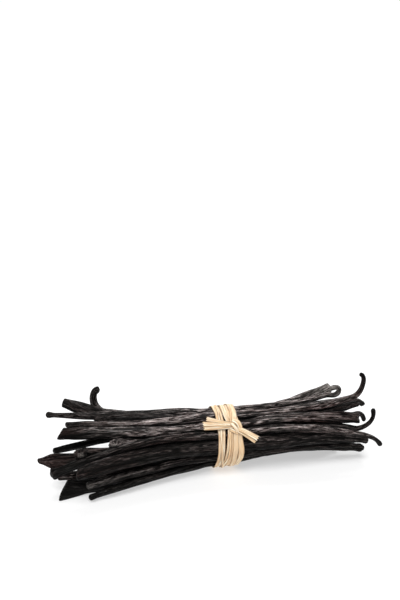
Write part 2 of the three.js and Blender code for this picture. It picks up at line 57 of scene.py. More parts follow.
setting = {
    "station": 6,  # between the cross sections where the pods are set side by side
    "rounds": 70,
    "fan": 1.3,  # how late a pod leaves the bundle, as a power of its length
    "squeeze": 0.97,  # of two pods' thickness that stays between their middles
    "part": 0.4,  # of an overlap that one round takes away from each of the two
    "step": 0.6,  # the furthest that a pod moves sideways in one round
    "hold": 0.5,  # how much less a pod moves at its end
    "twistLate": 3,  # how late a pod twists, as a power of its length
    "tighten": 0.8,  # of what stands out of the tie that one round pushes in
    "knobAt": 1.4,  # from the tip to the thickest place of its knob
    "knobLength": 1.8,
}


def blunt(wide, deep, taper, knob):
    # a blunt end: half width, half thickness, length of its taper, swelling at the tip
    return {"wide": wide, "deep": deep, "taper": taper, "knob": knob}


def curled(turn, length, late, curl=0, lean=0, wave=0):
    # a curled end: whole turn and last tight curl in degrees, length, how late the turn comes
    return {"turn": turn, "length": length, "late": late, "curl": curl, "lean": lean, "wave": wave}


def podEnd(end, sag, tip, hook=None, twist=0, slant=0, notch=0, scar=0, red=0, pale=0):
    # where the straight part ends, how far it bows off its way there, how its flat side turns
    # on the way, and the end's own form: slant and notch of the cut, a wrinkled star scar, and
    # red or pale skin near the tip
    return {"end": end, "sag": sag, "tip": tip, "hook": hook, "twist": twist, "slant": slant,
            "notch": notch, "scar": scar, "red": red, "pale": pale}


def podAt(ring, at, girth, roll, left, right, red=(0.3,) * 4, bloomAndPaintedLight=(0.4,) * 4, seen=True):
    # at is the angle of the pod's place in the tie, from the top towards the front; red skin and
    # pale bloom with a painted highlight are given at the left tip, in the left and right halves and
    # at the right tip; the painted highlight is set high on the upper pods and low on the lower ones
    return {"ring": ring, "at": at, "girth": girth, "roll": roll, "left": left, "right": right,
            "red": red, "bloomAndPaintedLight": bloomAndPaintedLight, "seen": seen}


pods = [
    # the outer ring, from the upper back over the top and the front to the underside and the back
    podAt("outer", -46, 0.9, 0,
          podEnd((-86.5, 24, 36.5), (0, -6.5), blunt(2.7, 1.5, 10, 1), twist=-70, notch=0.3),
          podEnd((66.5, 17, 31.5), (1.5, -5.5), blunt(3, 1.4, 12, 1.05), twist=-70, pale=0.9),
          red=(0.2, 0.2, 0.3, 0.2), bloomAndPaintedLight=(0.1, 0.3, 0.8, 1)),
    podAt("outer", -16, 0.86, 0,
          podEnd((-97, 12, 34.5), (1.5, -2.5), blunt(1.3, 1.2, 30, 1.45)),
          podEnd((61.5, 9, 29.5), (1, -4.5), blunt(1.5, 1.4, 36, 1),
                 curled(415, 16, 1.7, -265, 0, -85), pale=0.7),
          red=(0.1, 0.15, 0.2, 0.1), bloomAndPaintedLight=(0.1, 0.5, 0.75, 0.8)),
    podAt("outer", 13, 0.86, -20,
          podEnd((-87.5, 0, 32.5), (0, -2.5), blunt(2.3, 1.8, 14, 1), slant=0.5),
          podEnd((73, -2, 32), (0, -4), blunt(1.4, 1.2, 24, 1), curled(90, 18, 4, 85, 0, 55)),
          red=(0.3, 0.9, 1, 0.4), bloomAndPaintedLight=(0.1, 1.4, 1, 0.1)),
    podAt("outer", 40, 0.9, -45,
          podEnd((-91.5, -6, 31), (-1, -0.5), blunt(2.9, 1.7, 14, 1.15), twist=60, slant=-0.6, notch=0.6),
          podEnd((76, -6, 22.5), (-2, 3.5), blunt(2.9, 1.6, 12, 1.1), twist=60, notch=1.1),
          red=(0.2, 0.9, 0.7, 0.3), bloomAndPaintedLight=(0, 1.4, 0.7, 0.15)),
    podAt("outer", 65, 0.76, 60,
          podEnd((-99, -23, 17.5), (0, 5.5), blunt(2.7, 2.5, 14, 1.3), red=0.1),
          podEnd((65, -17, 20.5), (-0.5, 2.5), blunt(1.1, 1, 20, 1.25), curled(-40, 24, 1.9, -20)),
          red=(0.1, 0.35, 0.4, 0.3), bloomAndPaintedLight=(0, 0.25, 0.7, 1)),
    podAt("outer", 90, 1.05, -28,
          podEnd((-86, -27, 22), (2.5, 4.5), blunt(3.4, 1.8, 12, 1), slant=-0.4, red=0.3),
          podEnd((80, -12, 15), (0, 5.5), blunt(1.8, 1.6, 26, 1.2)),
          red=(0.15, 0.1, 0.1, 0), bloomAndPaintedLight=(0.04, 0.09, 0.15, 0.15)),
    podAt("outer", 119, 0.92, 30,
          podEnd((-80.5, -27, 8), (2.5, -1.5), blunt(2.2, 1.9, 12, 1.05), pale=0.15),
          podEnd((77.5, -8, 7), (0, 3.5), blunt(2.7, 1.9, 12, 1.3), notch=0.5),
          red=(0, 0.1, 0.2, 0.1), bloomAndPaintedLight=(0.2, 0.2, 0.15, 0.12)),
    podAt("outer", 148, 0.82, 0,
          podEnd((-79.5, -25.5, 4.5), (0, 2), blunt(1.6, 1.5, 16, 1.15)),
          podEnd((66, 4, 2.5), (2, 2), blunt(1.6, 1.5, 16, 1.6)),
          red=(0, 0.1, 0.1, 0.1), bloomAndPaintedLight=(0.02, 0.04, 0.1, 0.1), seen=False),
    podAt("outer", 179, 0.98, 0,
          podEnd((-94, -5, 5), (0, -2), blunt(2, 1.7, 14, 1.2)),
          podEnd((70, 13, 3), (0, 0), blunt(1.4, 1.3, 20, 1.2)),
          seen=False),
    podAt("outer", 212, 1, 0,
          podEnd((-84, 13, 3), (0, 0), blunt(2.3, 1.8, 14, 1.1), scar=0.5),
          podEnd((60, 22, 4), (0, 0), blunt(1.2, 1.1, 20, 1.1)),
          seen=False),
    podAt("outer", 245, 0.95, 0,
          podEnd((-62, 20, 5), (0, 0), blunt(2, 1.7, 14, 1.2)),
          podEnd((68, 25, 10), (0, 0), blunt(1.4, 1.3, 20, 1.2)),
          red=(0.6,) * 4, seen=False),
    podAt("outer", 281, 0.95, 0,
          podEnd((-64.5, 22, 28), (0, -1.5), blunt(1.8, 1.7, 20, 1.2),
                 curled(75, 18, 0.55, 110, 0, 15)),
          podEnd((62, 23, 17), (0, 0), blunt(1.4, 1.3, 20, 1.2)),
          red=(0,) * 4, bloomAndPaintedLight=(1, 1, 0.5, 0.4), seen=False),
    # the second ring, whose pods show between those of the first
    podAt("second", -5, 0.9, 0,
          podEnd((-71.5, 6, 31.5), (0, 3.5), blunt(1.2, 1.1, 16, 1)),
          podEnd((79.5, 8, 27), (0, 2), blunt(1.5, 1.4, 16, 1.15),
                 curled(10, 5.5, 1.8, -55, 0, -40)),
          red=(0.1, 0.1, 0.1, 0.3), bloomAndPaintedLight=(0.05, 0.1, 0.3, 0.1)),
    podAt("second", 40, 0.9, -50,
          podEnd((-58, -1, 28), (0, 0), blunt(2, 1.6, 14, 1.1)),
          podEnd((78, 1, 31.5), (0, 0), blunt(2.2, 1.7, 14, 1)),
          bloomAndPaintedLight=(0.2, 0.2, 0.2, 0.1)),
    podAt("second", 72, 0.82, -80,
          podEnd((-60, -18, 28.5), (2.5, 0.5), blunt(3.2, 3.1, 10, 1.15),
                 curled(70, 7, 1, 0, -80), scar=1),
          podEnd((77, -2, 24.5), (0, 0), blunt(1.4, 1.3, 20, 1), curled(-125, 8, 1.1, 80)),
          red=(0.2,) * 4, bloomAndPaintedLight=(0.8, 0.15, 0.15, 0.1)),
    podAt("second", 105, 0.86, 40,
          podEnd((-79.5, -15, 23.5), (5.5, -3), blunt(3.3, 3.1, 10, 1.1),
                 curled(70, 7, 1, 0, -80), scar=0.45),
          podEnd((73.5, -8.5, 20), (0, 7.5), blunt(1.3, 1.2, 24, 1.2),
                 curled(155, 17.5, 0.7, -40, 0, -35)),
          red=(0.3, 0.3, 0.2, 0.1), bloomAndPaintedLight=(0.12, 0.15, 0.2, 0.15)),
    podAt("second", 145, 1.08, 0,
          podEnd((-93, -20, 3.5), (-1, -4.5), blunt(5.2, 1.9, 18, 1), twist=-85, slant=-0.7),
          podEnd((79, -7, 4.5), (0, 3.5), blunt(1.7, 1.5, 14, 1.1)),
          red=(0, 0.1, 0.1, 0.1), bloomAndPaintedLight=(0.01,) * 4),
    podAt("second", 225, 0.95, 0,
          podEnd((-62, 6, 9), (0, 0), blunt(2.2, 1.8, 14, 1.1)),
          podEnd((62, 12, 10), (0, 0), blunt(1.4, 1.3, 20, 1.2)),
          seen=False),
    podAt("second", 300, 0.62, 0,
          podEnd((-95, 2, 17.5), (0.5, 2), blunt(2, 1.8, 12, 1)),
          podEnd((62, 6, 20), (0, 0), blunt(1.4, 1.3, 20, 1.2)),
          red=(0,) * 4, bloomAndPaintedLight=(0.05, 0.05, 0.1, 0.1), seen=False),
    # the innermost one, with the longest left end
    podAt("inner", 240, 1.06, 0,
          podEnd((-104.5, -10, 19.5), (-3, -4), blunt(1.5, 1, 9, 1), slant=-0.3, red=0.45),
          podEnd((60, 4, 15), (0, 0), blunt(1.4, 1.3, 20, 1.2)),
          red=(0.4, 0.1, 0.1, 0.1), bloomAndPaintedLight=(0.05, 0.05, 0.1, 0.1), seen=False),
]


def eased(share):
    return share * share * (3 - 2 * share)


def sideOf(x):
    return "left" if x < 0 else "right"


def sizesFromTip(pod, side, away):
    # half width and half thickness at a length from one end's very tip
    tip, hook = pod[side]["tip"], pod[side]["hook"]
    reach = tip["taper"] + (hook["length"] if hook else 0)
    share = np.clip(away / reach, 0, 1)
    full = share ** setting["fan"] if hook else eased(share)
    swell = 1 + (tip["knob"] - 1) * np.exp(-(((away - setting["knobAt"]) / setting["knobLength"]) ** 2))
    wide = tip["wide"] + (bundle["podWide"] * pod["girth"] - tip["wide"]) * full
    deep = tip["deep"] + (bundle["podDeep"] * pod["girth"] - tip["deep"]) * full
    return wide * swell, deep * swell


def flatWay(pod, x):
    # the direction of a pod's flat side across the bundle, at a place along it
    side = pod[sideOf(x)]
    turned = side["twist"] * min(1, abs(x / side["end"][0])) ** setting["twistLate"]
    angle = math.radians(pod["at"] + pod["roll"] + turned)
    return np.array([math.cos(angle), math.sin(angle)])


def startPlace(pod, x):
    # a pod's own smooth way from the tie to its ends, before the pods push each other
    around = math.radians(pod["at"])
    ring = bundle["rings"][pod["ring"]]
    slot = np.array([-ring * math.sin(around), bundle["height"] + ring * math.cos(around)])
    side = pod[sideOf(x)]
    share = abs(x / side["end"][0])
    bow = math.sin(math.pi * share) * np.array(side["sag"], float)
    return slot + (np.array(side["end"][1:]) - slot) * share ** setting["fan"] + bow


def wayBetween(one, two):
    # the shortest way between flat sections, each a short line with round ends
    best = np.full(one["half"].shape, np.inf)
    way = np.zeros(one["place"].shape)
    for turn, a, b in ((1, one, two), (-1, two, one)):
        for sign in (-1, 1):
            end = a["place"] + sign * a["half"][..., None] * a["flat"]
            along = np.clip(((end - b["place"]) * b["flat"]).sum(-1), -b["half"], b["half"])
            found = turn * (b["place"] + along[..., None] * b["flat"] - end)
            length = np.linalg.norm(found, axis=-1)
            closer = length < best
            best[closer] = length[closer]
            way[closer] = found[closer]
    return best, way


def layPods():
    # sets all pods side by side: none inside another, all inside the tie, none below the surface
    step = setting["station"]
    first = np.array([math.ceil(pod["left"]["end"][0] / step) for pod in pods])
    last = np.array([math.floor(pod["right"]["end"][0] / step) for pod in pods])
    numbers = np.arange(first.min(), last.max() + 1)
    xs = numbers * step
    there = (numbers >= first[:, None]) & (numbers <= last[:, None])
    shape = (len(pods), len(xs))
    start, flat = np.zeros(shape + (2,)), np.zeros(shape + (2,))
    radius, half, share = np.ones(shape), np.ones(shape), np.ones(shape)
    for k, pod in enumerate(pods):
        for s in np.flatnonzero(there[k]):
            side = sideOf(xs[s])
            end, hook = pod[side]["end"][0], pod[side]["hook"]
            away = abs(end - xs[s]) + (hook["length"] if hook else 0)
            wide, deep = sizesFromTip(pod, side, away)
            start[k, s], share[k, s] = startPlace(pod, xs[s]), abs(xs[s] / end)
            radius[k, s], half[k, s] = deep, wide - deep
            flat[k, s] = flatWay(pod, xs[s])
    place = start.copy()

    ones, twos = np.triu_indices(len(pods), 1)
    together = there[ones] & there[twos]
    wanted = (radius[ones] + radius[twos]) * setting["squeeze"]
    row = np.arange(len(pods))[:, None]
    index = np.arange(len(xs))[None, :]
    before = np.clip(index - 1, first[:, None] - numbers[0], None)
    after = np.clip(index + 1, None, last[:, None] - numbers[0])
    inTie = np.broadcast_to(np.abs(xs) <= bundle["tieHalf"], shape)
    lowest = radius + half * np.abs(flat[..., 1]) + np.where(inTie, bundle["tieLift"], -bundle["settle"])

    for _ in range(setting["rounds"]):
        one = {"place": place[ones], "half": half[ones], "flat": flat[ones]}
        two = {"place": place[twos], "half": half[twos], "flat": flat[twos]}
        length, way = wayBetween(one, two)
        touching = together & (length < wanted)
        size = np.maximum(np.linalg.norm(way, axis=-1), 1e-6)
        move = way * (np.where(touching, setting["part"] * (wanted - length), 0) / size)[..., None]
        push = np.zeros(place.shape)
        np.add.at(push, ones, -move)
        np.add.at(push, twos, move)
        size = np.maximum(np.linalg.norm(push, axis=-1), 1e-9)
        free = (1 - setting["hold"] * share ** 2) * np.minimum(1, setting["step"] / size)
        moves = place + push * free[..., None] - start
        for _ in range(2):
            moves = 0.5 * moves + 0.25 * (moves[row, before] + moves[row, after])
        place = start + moves
        off = place - np.array([0, bundle["height"]])
        far = np.maximum(np.linalg.norm(off, axis=-1), 1e-9)
        across = np.abs((off * flat).sum(-1)) / far
        over = np.where(inTie, far + radius + half * across - bundle["radius"], 0)
        place -= off * (np.maximum(over, 0) * setting["tighten"] / far)[..., None]
        place[..., 1] = np.maximum(place[..., 1], lowest)

    return [
        {"x": xs[there[k]], "place": place[k][there[k]], "start": start[k][there[k]],
         "radius": radius[k][there[k]], "half": half[k][there[k]], "flat": flat[k][there[k]]}
        for k in range(len(pods))
    ]


routes = layPods()
print("pods laid side by side:", len(routes))


def smoothCurve(points, steps=10):
    # many points on a smooth way through the given ones (centripetal Catmull-Rom)
    points = np.asarray(points, float)
    ends = [2 * points[0] - points[1]], [2 * points[-1] - points[-2]]
    p = np.concatenate([ends[0], points, ends[1]])
    t = np.linspace(0, 1, steps, endpoint=False)[:, None]
    found = []
    for k in range(1, len(p) - 2):
        a, b, c = (max(np.linalg.norm(p[k + j] - p[k + j - 1]) ** 0.5, 1e-6) for j in (0, 1, 2))
        leave = ((p[k] - p[k - 1]) / a - (p[k + 1] - p[k - 1]) / (a + b)) * b + p[k + 1] - p[k]
        reach = p[k + 1] - p[k] + ((p[k + 2] - p[k + 1]) / c - (p[k + 2] - p[k]) / (b + c)) * b
        found.append(p[k] * (2 * t ** 3 - 3 * t ** 2 + 1) + leave * (t ** 3 - 2 * t ** 2 + t)
                     + p[k + 1] * (3 * t ** 2 - 2 * t ** 3) + reach * (t ** 3 - t ** 2))
    found.append(points[-1:])
    return np.concatenate(found)


def lengthsAlong(points):
    return np.concatenate([[0], np.cumsum(np.linalg.norm(np.diff(points, axis=0), axis=1))])


def pick(values, at, places):
    # values given at some places, read at others, straight in between
    return np.stack([np.interp(places, at, values[:, i]) for i in range(values.shape[1])], axis=1)


def unit(vectors):
    return vectors / np.maximum(np.linalg.norm(vectors, axis=-1, keepdims=True), 1e-12)


# The pods' skins: wrinkled, creased and dusty, with painted highlights and painted shade, and with their
# own ends.
podSkin = {
    "around": 64,  # faces round a pod
    "spacing": 1.7,  # between its rings along the body
    "tipSpacing": 0.35,  # at the tips
    "hookSpacing": 0.8,  # and at most along a curled end
    "growth": 1.18,  # of the spacing from ring to ring, away from a tip
    "endGap": 2,  # from a pod's end to the last cross section that shapes its line
    "hookMargin": 3,  # of close rings past the foot of a curled end
    "bluntMargin": 4,  # and from the tip of a straight one
    "squareness": 2.25,  # of the section, where 2 is an ellipse
    "round": 0.9,  # length of the rounding at the very end
    "cap": 0.6,  # width of the end face, as a share of the end
    "slimmest": 0.15,  # share of the skin's relief that the thinnest ends keep
    "stain": 9,  # how far red or pale skin reaches from a tip
    "shadeBetween": 1.9,  # how near another pod its skin is painted dark as shade
    "topLitReach": 0.6,  # how far down its sides the bloom and its painted top light reach
    "undersideLeast": 0.2,  # and how much of it is left underneath, where the skin is painted darker as shade
    "tipBloom": 0.15,  # and how much is left at the tip of a curled end
    "shares": (0.04, 0.3, 0.7, 0.96),  # of its length, where its red skin and its bloom with painted highlight are given
    "apart": 211.0,  # between the grains of two pods, so that no two look alike
}

# Each relief has its depth, its closeness round the pod, its length along it and its width; a wrinkle's
# dark is its share of the painted shade in the creases.
relief = {
    "crease": {"depth": 0.55, "around": 1.05, "along": 42, "width": 0.1},
    "wrinkle": {"depth": 0.36, "around": 3.1, "along": 15, "width": 0.3, "dark": 0.7},
    "lump": {"depth": 0.22, "around": 0.7, "along": 9},
}

# The body leaves its smooth way and changes its width slowly along its length.
wobble = {
    "size": 0.55,
    "from": 8,  # where it starts, from the middle of the tie
    "over": 22,  # and the length over which it grows
    "across": 24,  # lengths of its waves
    "through": 19,
    "flat": 0.6,  # of it that goes through the flat side
    "swell": 0.07,
    "wideWave": 17,
    "deepWave": 13,
}

# How far a slant or notch reaches into the pod, and where across it a notch changes nothing.
cut = {"reach": 3.5, "notchMiddle": 0.6}

endFace = {
    "rings": (0.85, 0.65, 0.45, 0.25, 0.0),  # as shares of the rim
    "dome": 0.35,  # of the end's thickness
    "sink": 1.9,  # of the dome that a full scar takes away, past 1 into a hollow
    "arms": 2.5,  # half the number of the scar's folds
    "ridge": 2,  # how strongly the folds rise
    "pale": 0.35,  # how pale the scar is between its folds
    "grain": 2,  # length of the grain over the end face
}

curledEnd = {"steps": 16, "late": 6}  # its points, and how late its last tight curl comes


def hookPoints(base, direction, hook):
    # the points of a curled end that leaves a base in a direction
    steps = curledEnd["steps"]
    forward = direction.normalized()
    lean = math.radians(hook["lean"])
    up = Vector((0, math.sin(lean), math.cos(lean)))
    up = (up - forward * up.dot(forward)).normalized()
    points, point = [], base.copy()
    for k in range(steps):
        share = (k + 0.5) / steps
        turn = hook["turn"] * share ** hook["late"] + hook["curl"] * share ** curledEnd["late"]
        heading = math.radians(turn + hook["wave"] * math.sin(math.pi * share))
        way = forward * math.cos(heading) + up * math.sin(heading)
        point = point + way * (hook["length"] / steps)
        points.append(point.copy())
    return points


def podLine(pod, route):
    # a pod's middle line from its left tip to its right tip
    def endPoint(side, k):
        x, y, z = pod[side]["end"]
        move = route["place"][k] - route["start"][k]
        return Vector((x, y + move[0], z + move[1]))

    left, right = endPoint("left", 0), endPoint("right", -1)
    body = [Vector((x, *place)) for x, place in zip(route["x"], route["place"])]
    gap = podSkin["endGap"]
    points = [left] + [p for p in body if left.x + gap < p.x < right.x - gap] + [right]
    if pod["left"]["hook"]:
        points = hookPoints(points[0], points[0] - points[1], pod["left"]["hook"])[::-1] + points
    if pod["right"]["hook"]:
        points += hookPoints(points[-1], points[-1] - points[-2], pod["right"]["hook"])
    return smoothCurve([p[:] for p in points])


def ringPlaces(pod, length):
    # lengths from the left tip: close at the tips and in the curls, wider along the body
    def fromEnd(side):
        hook = pod[side]["hook"]
        close = hook["length"] + podSkin["hookMargin"] if hook else podSkin["bluntMargin"]
        places, step = [0.0], podSkin["tipSpacing"]
        while step < podSkin["spacing"]:
            places.append(places[-1] + step)
            limit = podSkin["hookSpacing"] if places[-1] < close else podSkin["spacing"]
            step = min(step * podSkin["growth"], limit)
        return places

    left = np.array(fromEnd("left"))
    right = length - np.array(fromEnd("right"))[::-1]
    count = max(2, round((right[0] - left[-1]) / podSkin["spacing"]))
    return np.concatenate([left, np.linspace(left[-1], right[0], count + 1)[1:-1], right])


def slowNoise(places, period, seed):
    # slow waves along a pod; each seed reads its own place in the noise
    return np.array([noise.noise(Vector((p / period, seed * 7.31, 0.5))) for p in places])


def aroundNoise(angles, alongs, kind, seed):
    # noise on a pod's skin, drawn out along it and without a seam round it
    found = np.empty((len(alongs), len(angles)))
    sines, cosines = np.sin(angles) * kind["around"], np.cos(angles) * kind["around"]
    for k, along in enumerate(alongs):
        z = along / kind["along"] + seed * 13.7
        found[k] = [noise.noise(Vector((s + seed, c, z))) for s, c in zip(sines, cosines)]
    return found


def podFrames(pod, line, alongs):
    # middle, forward, across and through at each ring of a pod
    at = lengthsAlong(line)
    middle = pick(line, at, alongs)
    forward = unit(pick(np.gradient(line, axis=0), at, alongs))
    hooks = [pod[side]["hook"]["length"] if pod[side]["hook"] else 0 for side in ("left", "right")]
    straight = (alongs > hooks[0]) & (alongs < at[-1] - hooks[1])
    across = np.zeros(middle.shape)
    centre = len(alongs) // 2
    for way in (range(centre, -1, -1), range(centre, len(alongs))):
        for k in way:
            if straight[k]:
                carried = np.array([0, *flatWay(pod, middle[k, 0])])
            carried = unit(carried - forward[k] * carried.dot(forward[k]))
            across[k] = carried
    return middle, forward, across, np.cross(across, forward)


def podBody(number, pod, route):
    # the rings along one pod: their middles and directions, and their sizes from tip to tip
    line = podLine(pod, route)
    length = lengthsAlong(line)[-1]
    alongs = ringPlaces(pod, length)
    middle, forward, across, through = podFrames(pod, line, alongs)
    fromRight = alongs > length / 2
    away = np.where(fromRight, length - alongs, alongs)
    sizes = [sizesFromTip(pod, "right" if r else "left", a) for r, a in zip(fromRight, away)]
    wide, deep = np.array(sizes).T
    rounding = 1 - np.clip(away / podSkin["round"], 0, 1)
    tipScale = podSkin["cap"] + (1 - podSkin["cap"]) * np.sqrt(1 - rounding ** 2)
    off = wobble["size"] * np.clip((np.abs(middle[:, 0]) - wobble["from"]) / wobble["over"], 0, 1)
    sway = off * slowNoise(alongs, wobble["across"], number + 0.2)
    bob = wobble["flat"] * off * slowNoise(alongs, wobble["through"], number + 0.4)
    middle = middle + across * sway[:, None]
    middle = middle + through * bob[:, None]
    wide = wide * tipScale * (1 + wobble["swell"] * slowNoise(alongs, wobble["wideWave"], number + 0.6))
    deep = deep * tipScale * (1 + wobble["swell"] * slowNoise(alongs, wobble["deepWave"], number + 0.8))
    return {"alongs": alongs, "shares": alongs / length, "away": away, "fromRight": fromRight,
            "middle": middle, "forward": forward, "across": across, "through": through,
            "wide": wide, "deep": deep}


def nearEnd(body, side, reach):
    # 1 at the tip of one end, fading out over a length, and 0 in the other half of the pod
    return np.exp(-body["away"] / reach) * (body["fromRight"] == (side == "right"))


def skinRelief(number, angles, body):
    # how far the skin lies off its smooth section, and how deep in a crease each corner is, which the
    # skin's colour turns into painted shade
    turned = angles + 0.9 * math.sin(number * 2.4)  # so that no two pods show the same crease
    creases, wrinkles, lumps = relief["crease"], relief["wrinkle"], relief["lump"]
    crease = aroundNoise(turned, body["alongs"], creases, number + 0.1)
    wrinkle = aroundNoise(turned, body["alongs"], wrinkles, number + 0.3)
    lump = aroundNoise(angles, body["alongs"], lumps, number + 0.5)
    creased = np.exp(-((crease / creases["width"]) ** 2))
    wrinkled = 1 - np.minimum(1, np.abs(wrinkle) / wrinkles["width"])
    slim = np.clip(body["deep"] / bundle["podDeep"], podSkin["slimmest"], 1)[:, None]
    offset = slim * (lumps["depth"] * lump - creases["depth"] * creased
                     - wrinkles["depth"] * wrinkled)
    return offset, np.maximum(creased, wrinkles["dark"] * wrinkled)


def skinMarks(pod, body, facing):
    # red skin, bloom with painted highlight and pale skin at each corner; facing says how far a corner
    # faces up, and the bloom is cut down on downward-facing skin as painted top light
    shares = np.clip(body["shares"], 0, 1)[:, None] + np.zeros(facing.shape)
    red, bloomAndPaintedLight = (np.interp(shares, podSkin["shares"], pod[key]) for key in ("red", "bloomAndPaintedLight"))
    bloomAndPaintedLight = bloomAndPaintedLight * np.clip(podSkin["topLitReach"] + facing, podSkin["undersideLeast"], 1)
    pale = np.zeros(facing.shape)
    for side in ("left", "right"):
        near = nearEnd(body, side, podSkin["stain"])
        if pod[side]["hook"] and not pod[side]["scar"]:
            bare = np.clip(body["away"] / pod[side]["hook"]["length"], podSkin["tipBloom"], 1)
            bloomAndPaintedLight = bloomAndPaintedLight * np.where(near > 0, bare, 1)[:, None]
        red = np.maximum(red, pod[side]["red"] * near[:, None])
        pale = np.maximum(pale, pod[side]["pale"] * near[:, None])
    return {"red": red, "bloomAndPaintedLight": bloomAndPaintedLight, "pale": pale}


def endRows(number, pod, side, angles, body, rows):
    # the rings that close one end from its rim inwards, domed or with a star scar
    k, sign = (0, -1) if side == "left" else (-1, 1)
    scar = pod[side]["scar"]
    star = np.abs(np.sin(endFace["arms"] * angles + number)) * scar
    paleness = endFace["pale"] + (1 - endFace["pale"]) * star
    depth = endFace["dome"] * min(body["wide"][k], body["deep"][k])
    rim = rows["corners"][k]
    centre = rim.mean(axis=0)
    found = {key: [] for key in rows}
    for share in endFace["rings"]:
        rise = depth * (1 - share ** 2) * (1 - endFace["sink"] * scar)
        rise = rise + endFace["ridge"] * depth * star * share * (1 - share)
        out = sign * body["forward"][k] * rise[:, None]
        onward = sign * endFace["grain"] * (1 - share)
        found["corners"].append(centre + (rim - centre) * share + out)
        found["red"].append(rows["red"][k])
        found["bloomAndPaintedLight"].append(rows["bloomAndPaintedLight"][k])
        found["pale"].append(np.maximum(rows["pale"][k], scar * paleness))
        found["paintedShade"].append(rows["paintedShade"][k] * share)
        found["skin"].append(rows["skin"][k] * [share, share, 1] + [0, 0, onward])
    return {key: np.array(value) for key, value in found.items()}


def podShape(number, pod, route):
    # every corner of one pod, ring by ring, with what its skin needs to know about each corner
    body = podBody(number, pod, route)
    across, through, forward = (body[key][:, None] for key in ("across", "through", "forward"))
    wide, deep = body["wide"][:, None], body["deep"][:, None]
    angles = np.linspace(0, 2 * math.pi, podSkin["around"] + 1)
    sine, cosine = np.sin(angles), np.cos(angles)
    power = 2 / podSkin["squareness"]
    boxSine = np.sign(sine) * np.abs(sine) ** power
    boxCosine = np.sign(cosine) * np.abs(cosine) ** power
    normal = unit(np.stack([sine / wide, cosine / deep], axis=-1))
    offset, paintedShade = skinRelief(number, angles, body)
    sideways = wide * boxSine + normal[..., 0] * offset
    upward = deep * boxCosine + normal[..., 1] * offset
    lengthways = np.zeros(sideways.shape)
    for side, sign in (("left", -1), ("right", 1)):
        near = nearEnd(body, side, cut["reach"])[:, None]
        lean = pod[side]["slant"] * sine + pod[side]["notch"] * (np.abs(sine) - cut["notchMiddle"])
        lengthways += sign * near * wide * lean
    corners = (body["middle"][:, None] + across * sideways[..., None]
               + through * upward[..., None] + forward * lengthways[..., None])
    facing = across[..., 2] * normal[..., 0] + through[..., 2] * normal[..., 1]
    alongs = np.repeat(body["alongs"][:, None], len(angles), axis=1)
    rows = {"corners": corners, "paintedShade": paintedShade, **skinMarks(pod, body, facing),
            "skin": np.stack([wide * sine, deep * cosine, alongs], axis=-1)}
    left, right = (endRows(number, pod, side, angles, body, rows) for side in ("left", "right"))
    return {key: np.concatenate([left[key][::-1], rows[key], right[key]]) for key in rows}


def shadeBetweenPods(number, corners):
    # how near each corner of a pod lies to the pods beside it, from 0 to 1, for the painted shade between
    # the pods
    gap = np.full(corners.shape[:2], np.inf)
    x = corners[:, :, 0].mean(axis=1)
    for k, route in enumerate(routes):
        if k == number:
            continue
        beside = (x > route["x"][0]) & (x < route["x"][-1])
        place, flat = (pick(route[key], route["x"], x)[:, None] for key in ("place", "flat"))
        radius, half = (np.interp(x, route["x"], route[key])[:, None] for key in ("radius", "half"))
        off = corners[:, :, 1:] - place
        along = np.clip((off * flat).sum(-1), -half, half)
        far = np.linalg.norm(off - along[..., None] * flat, axis=-1) - radius
        gap[beside] = np.minimum(gap, far)[beside]
    return np.clip(1 - gap / podSkin["shadeBetween"], 0, 1)


def emptySelection():
    if bpy.context.object and bpy.context.object.mode != "OBJECT":
        bpy.ops.object.mode_set(mode="OBJECT")
    bpy.ops.object.select_all(action="DESELECT")


def sheetFrom(name, shape):
    # a flat grid whose corners are then set one by one
    alongCount, aroundCount = shape[0] - 1, shape[1] - 1
    emptySelection()
    bpy.ops.mesh.primitive_grid_add(x_subdivisions=aroundCount, y_subdivisions=alongCount, size=1)
    sheet = bpy.context.object
    sheet.name = name
    sheet.data.name = name
    return sheet


def setCorners(sheet, corners, vectors, numbers):
    mesh = sheet.data
    mesh.vertices.foreach_set("co", (corners * mm).astype(np.float32).ravel())
    for name, values in vectors.items():
        attribute = mesh.attributes.new(name, "FLOAT_VECTOR", "POINT")
        attribute.data.foreach_set("vector", values.astype(np.float32).ravel())
    for name, values in numbers.items():
        attribute = mesh.attributes.new(name, "FLOAT", "POINT")
        attribute.data.foreach_set("value", values.astype(np.float32).ravel())
    mesh.update()


mergeWithin = 2e-6  # metres


def closeSheet(sheet):
    # the grid's seam and its closed ends are merged, and its faces turned outwards
    bpy.ops.object.mode_set(mode="EDIT")
    bpy.ops.mesh.select_all(action="SELECT")
    bpy.ops.mesh.remove_doubles(threshold=mergeWithin)
    bpy.ops.mesh.normals_make_consistent(inside=False)
    bpy.ops.object.mode_set(mode="OBJECT")
    bpy.ops.object.shade_smooth()


def joined(sheets, name):
    emptySelection()
    for sheet in sheets:
        sheet.select_set(True)
    bpy.context.view_layer.objects.active = sheets[0]
    bpy.ops.object.join()
    whole = bpy.context.object
    whole.name = name
    whole.data.name = name
    return whole


tieMiddle = np.array([*bundle["middle"], 0])


def makePod(number, pod, route):
    shape = podShape(number, pod, route)
    shadeBetween = shadeBetweenPods(number, shape["corners"])
    corners = shape["corners"] + tieMiddle
    corners[..., 2] = np.maximum(corners[..., 2], 0)
    sheet = sheetFrom(f"pod{number}", corners.shape)
    skin = shape["skin"] + [0, 0, number * podSkin["apart"]]
    marks = {key: shape[key] for key in ("red", "pale", "paintedShade", "bloomAndPaintedLight")}
    setCorners(sheet, corners, {"skin": skin}, {**marks, "shadeBetween": shadeBetween})
    closeSheet(sheet)
    return sheet


core = {
    "from": -54,  # its ends, from the middle of the tie
    "to": 36,
    "taper": (0.4, 0.85, 0.95),  # of the way out to the pods' middles, from its ends inwards
    "around": 28,
    "facing": 0.05,  # least share of a pod's way out that counts in a direction
}


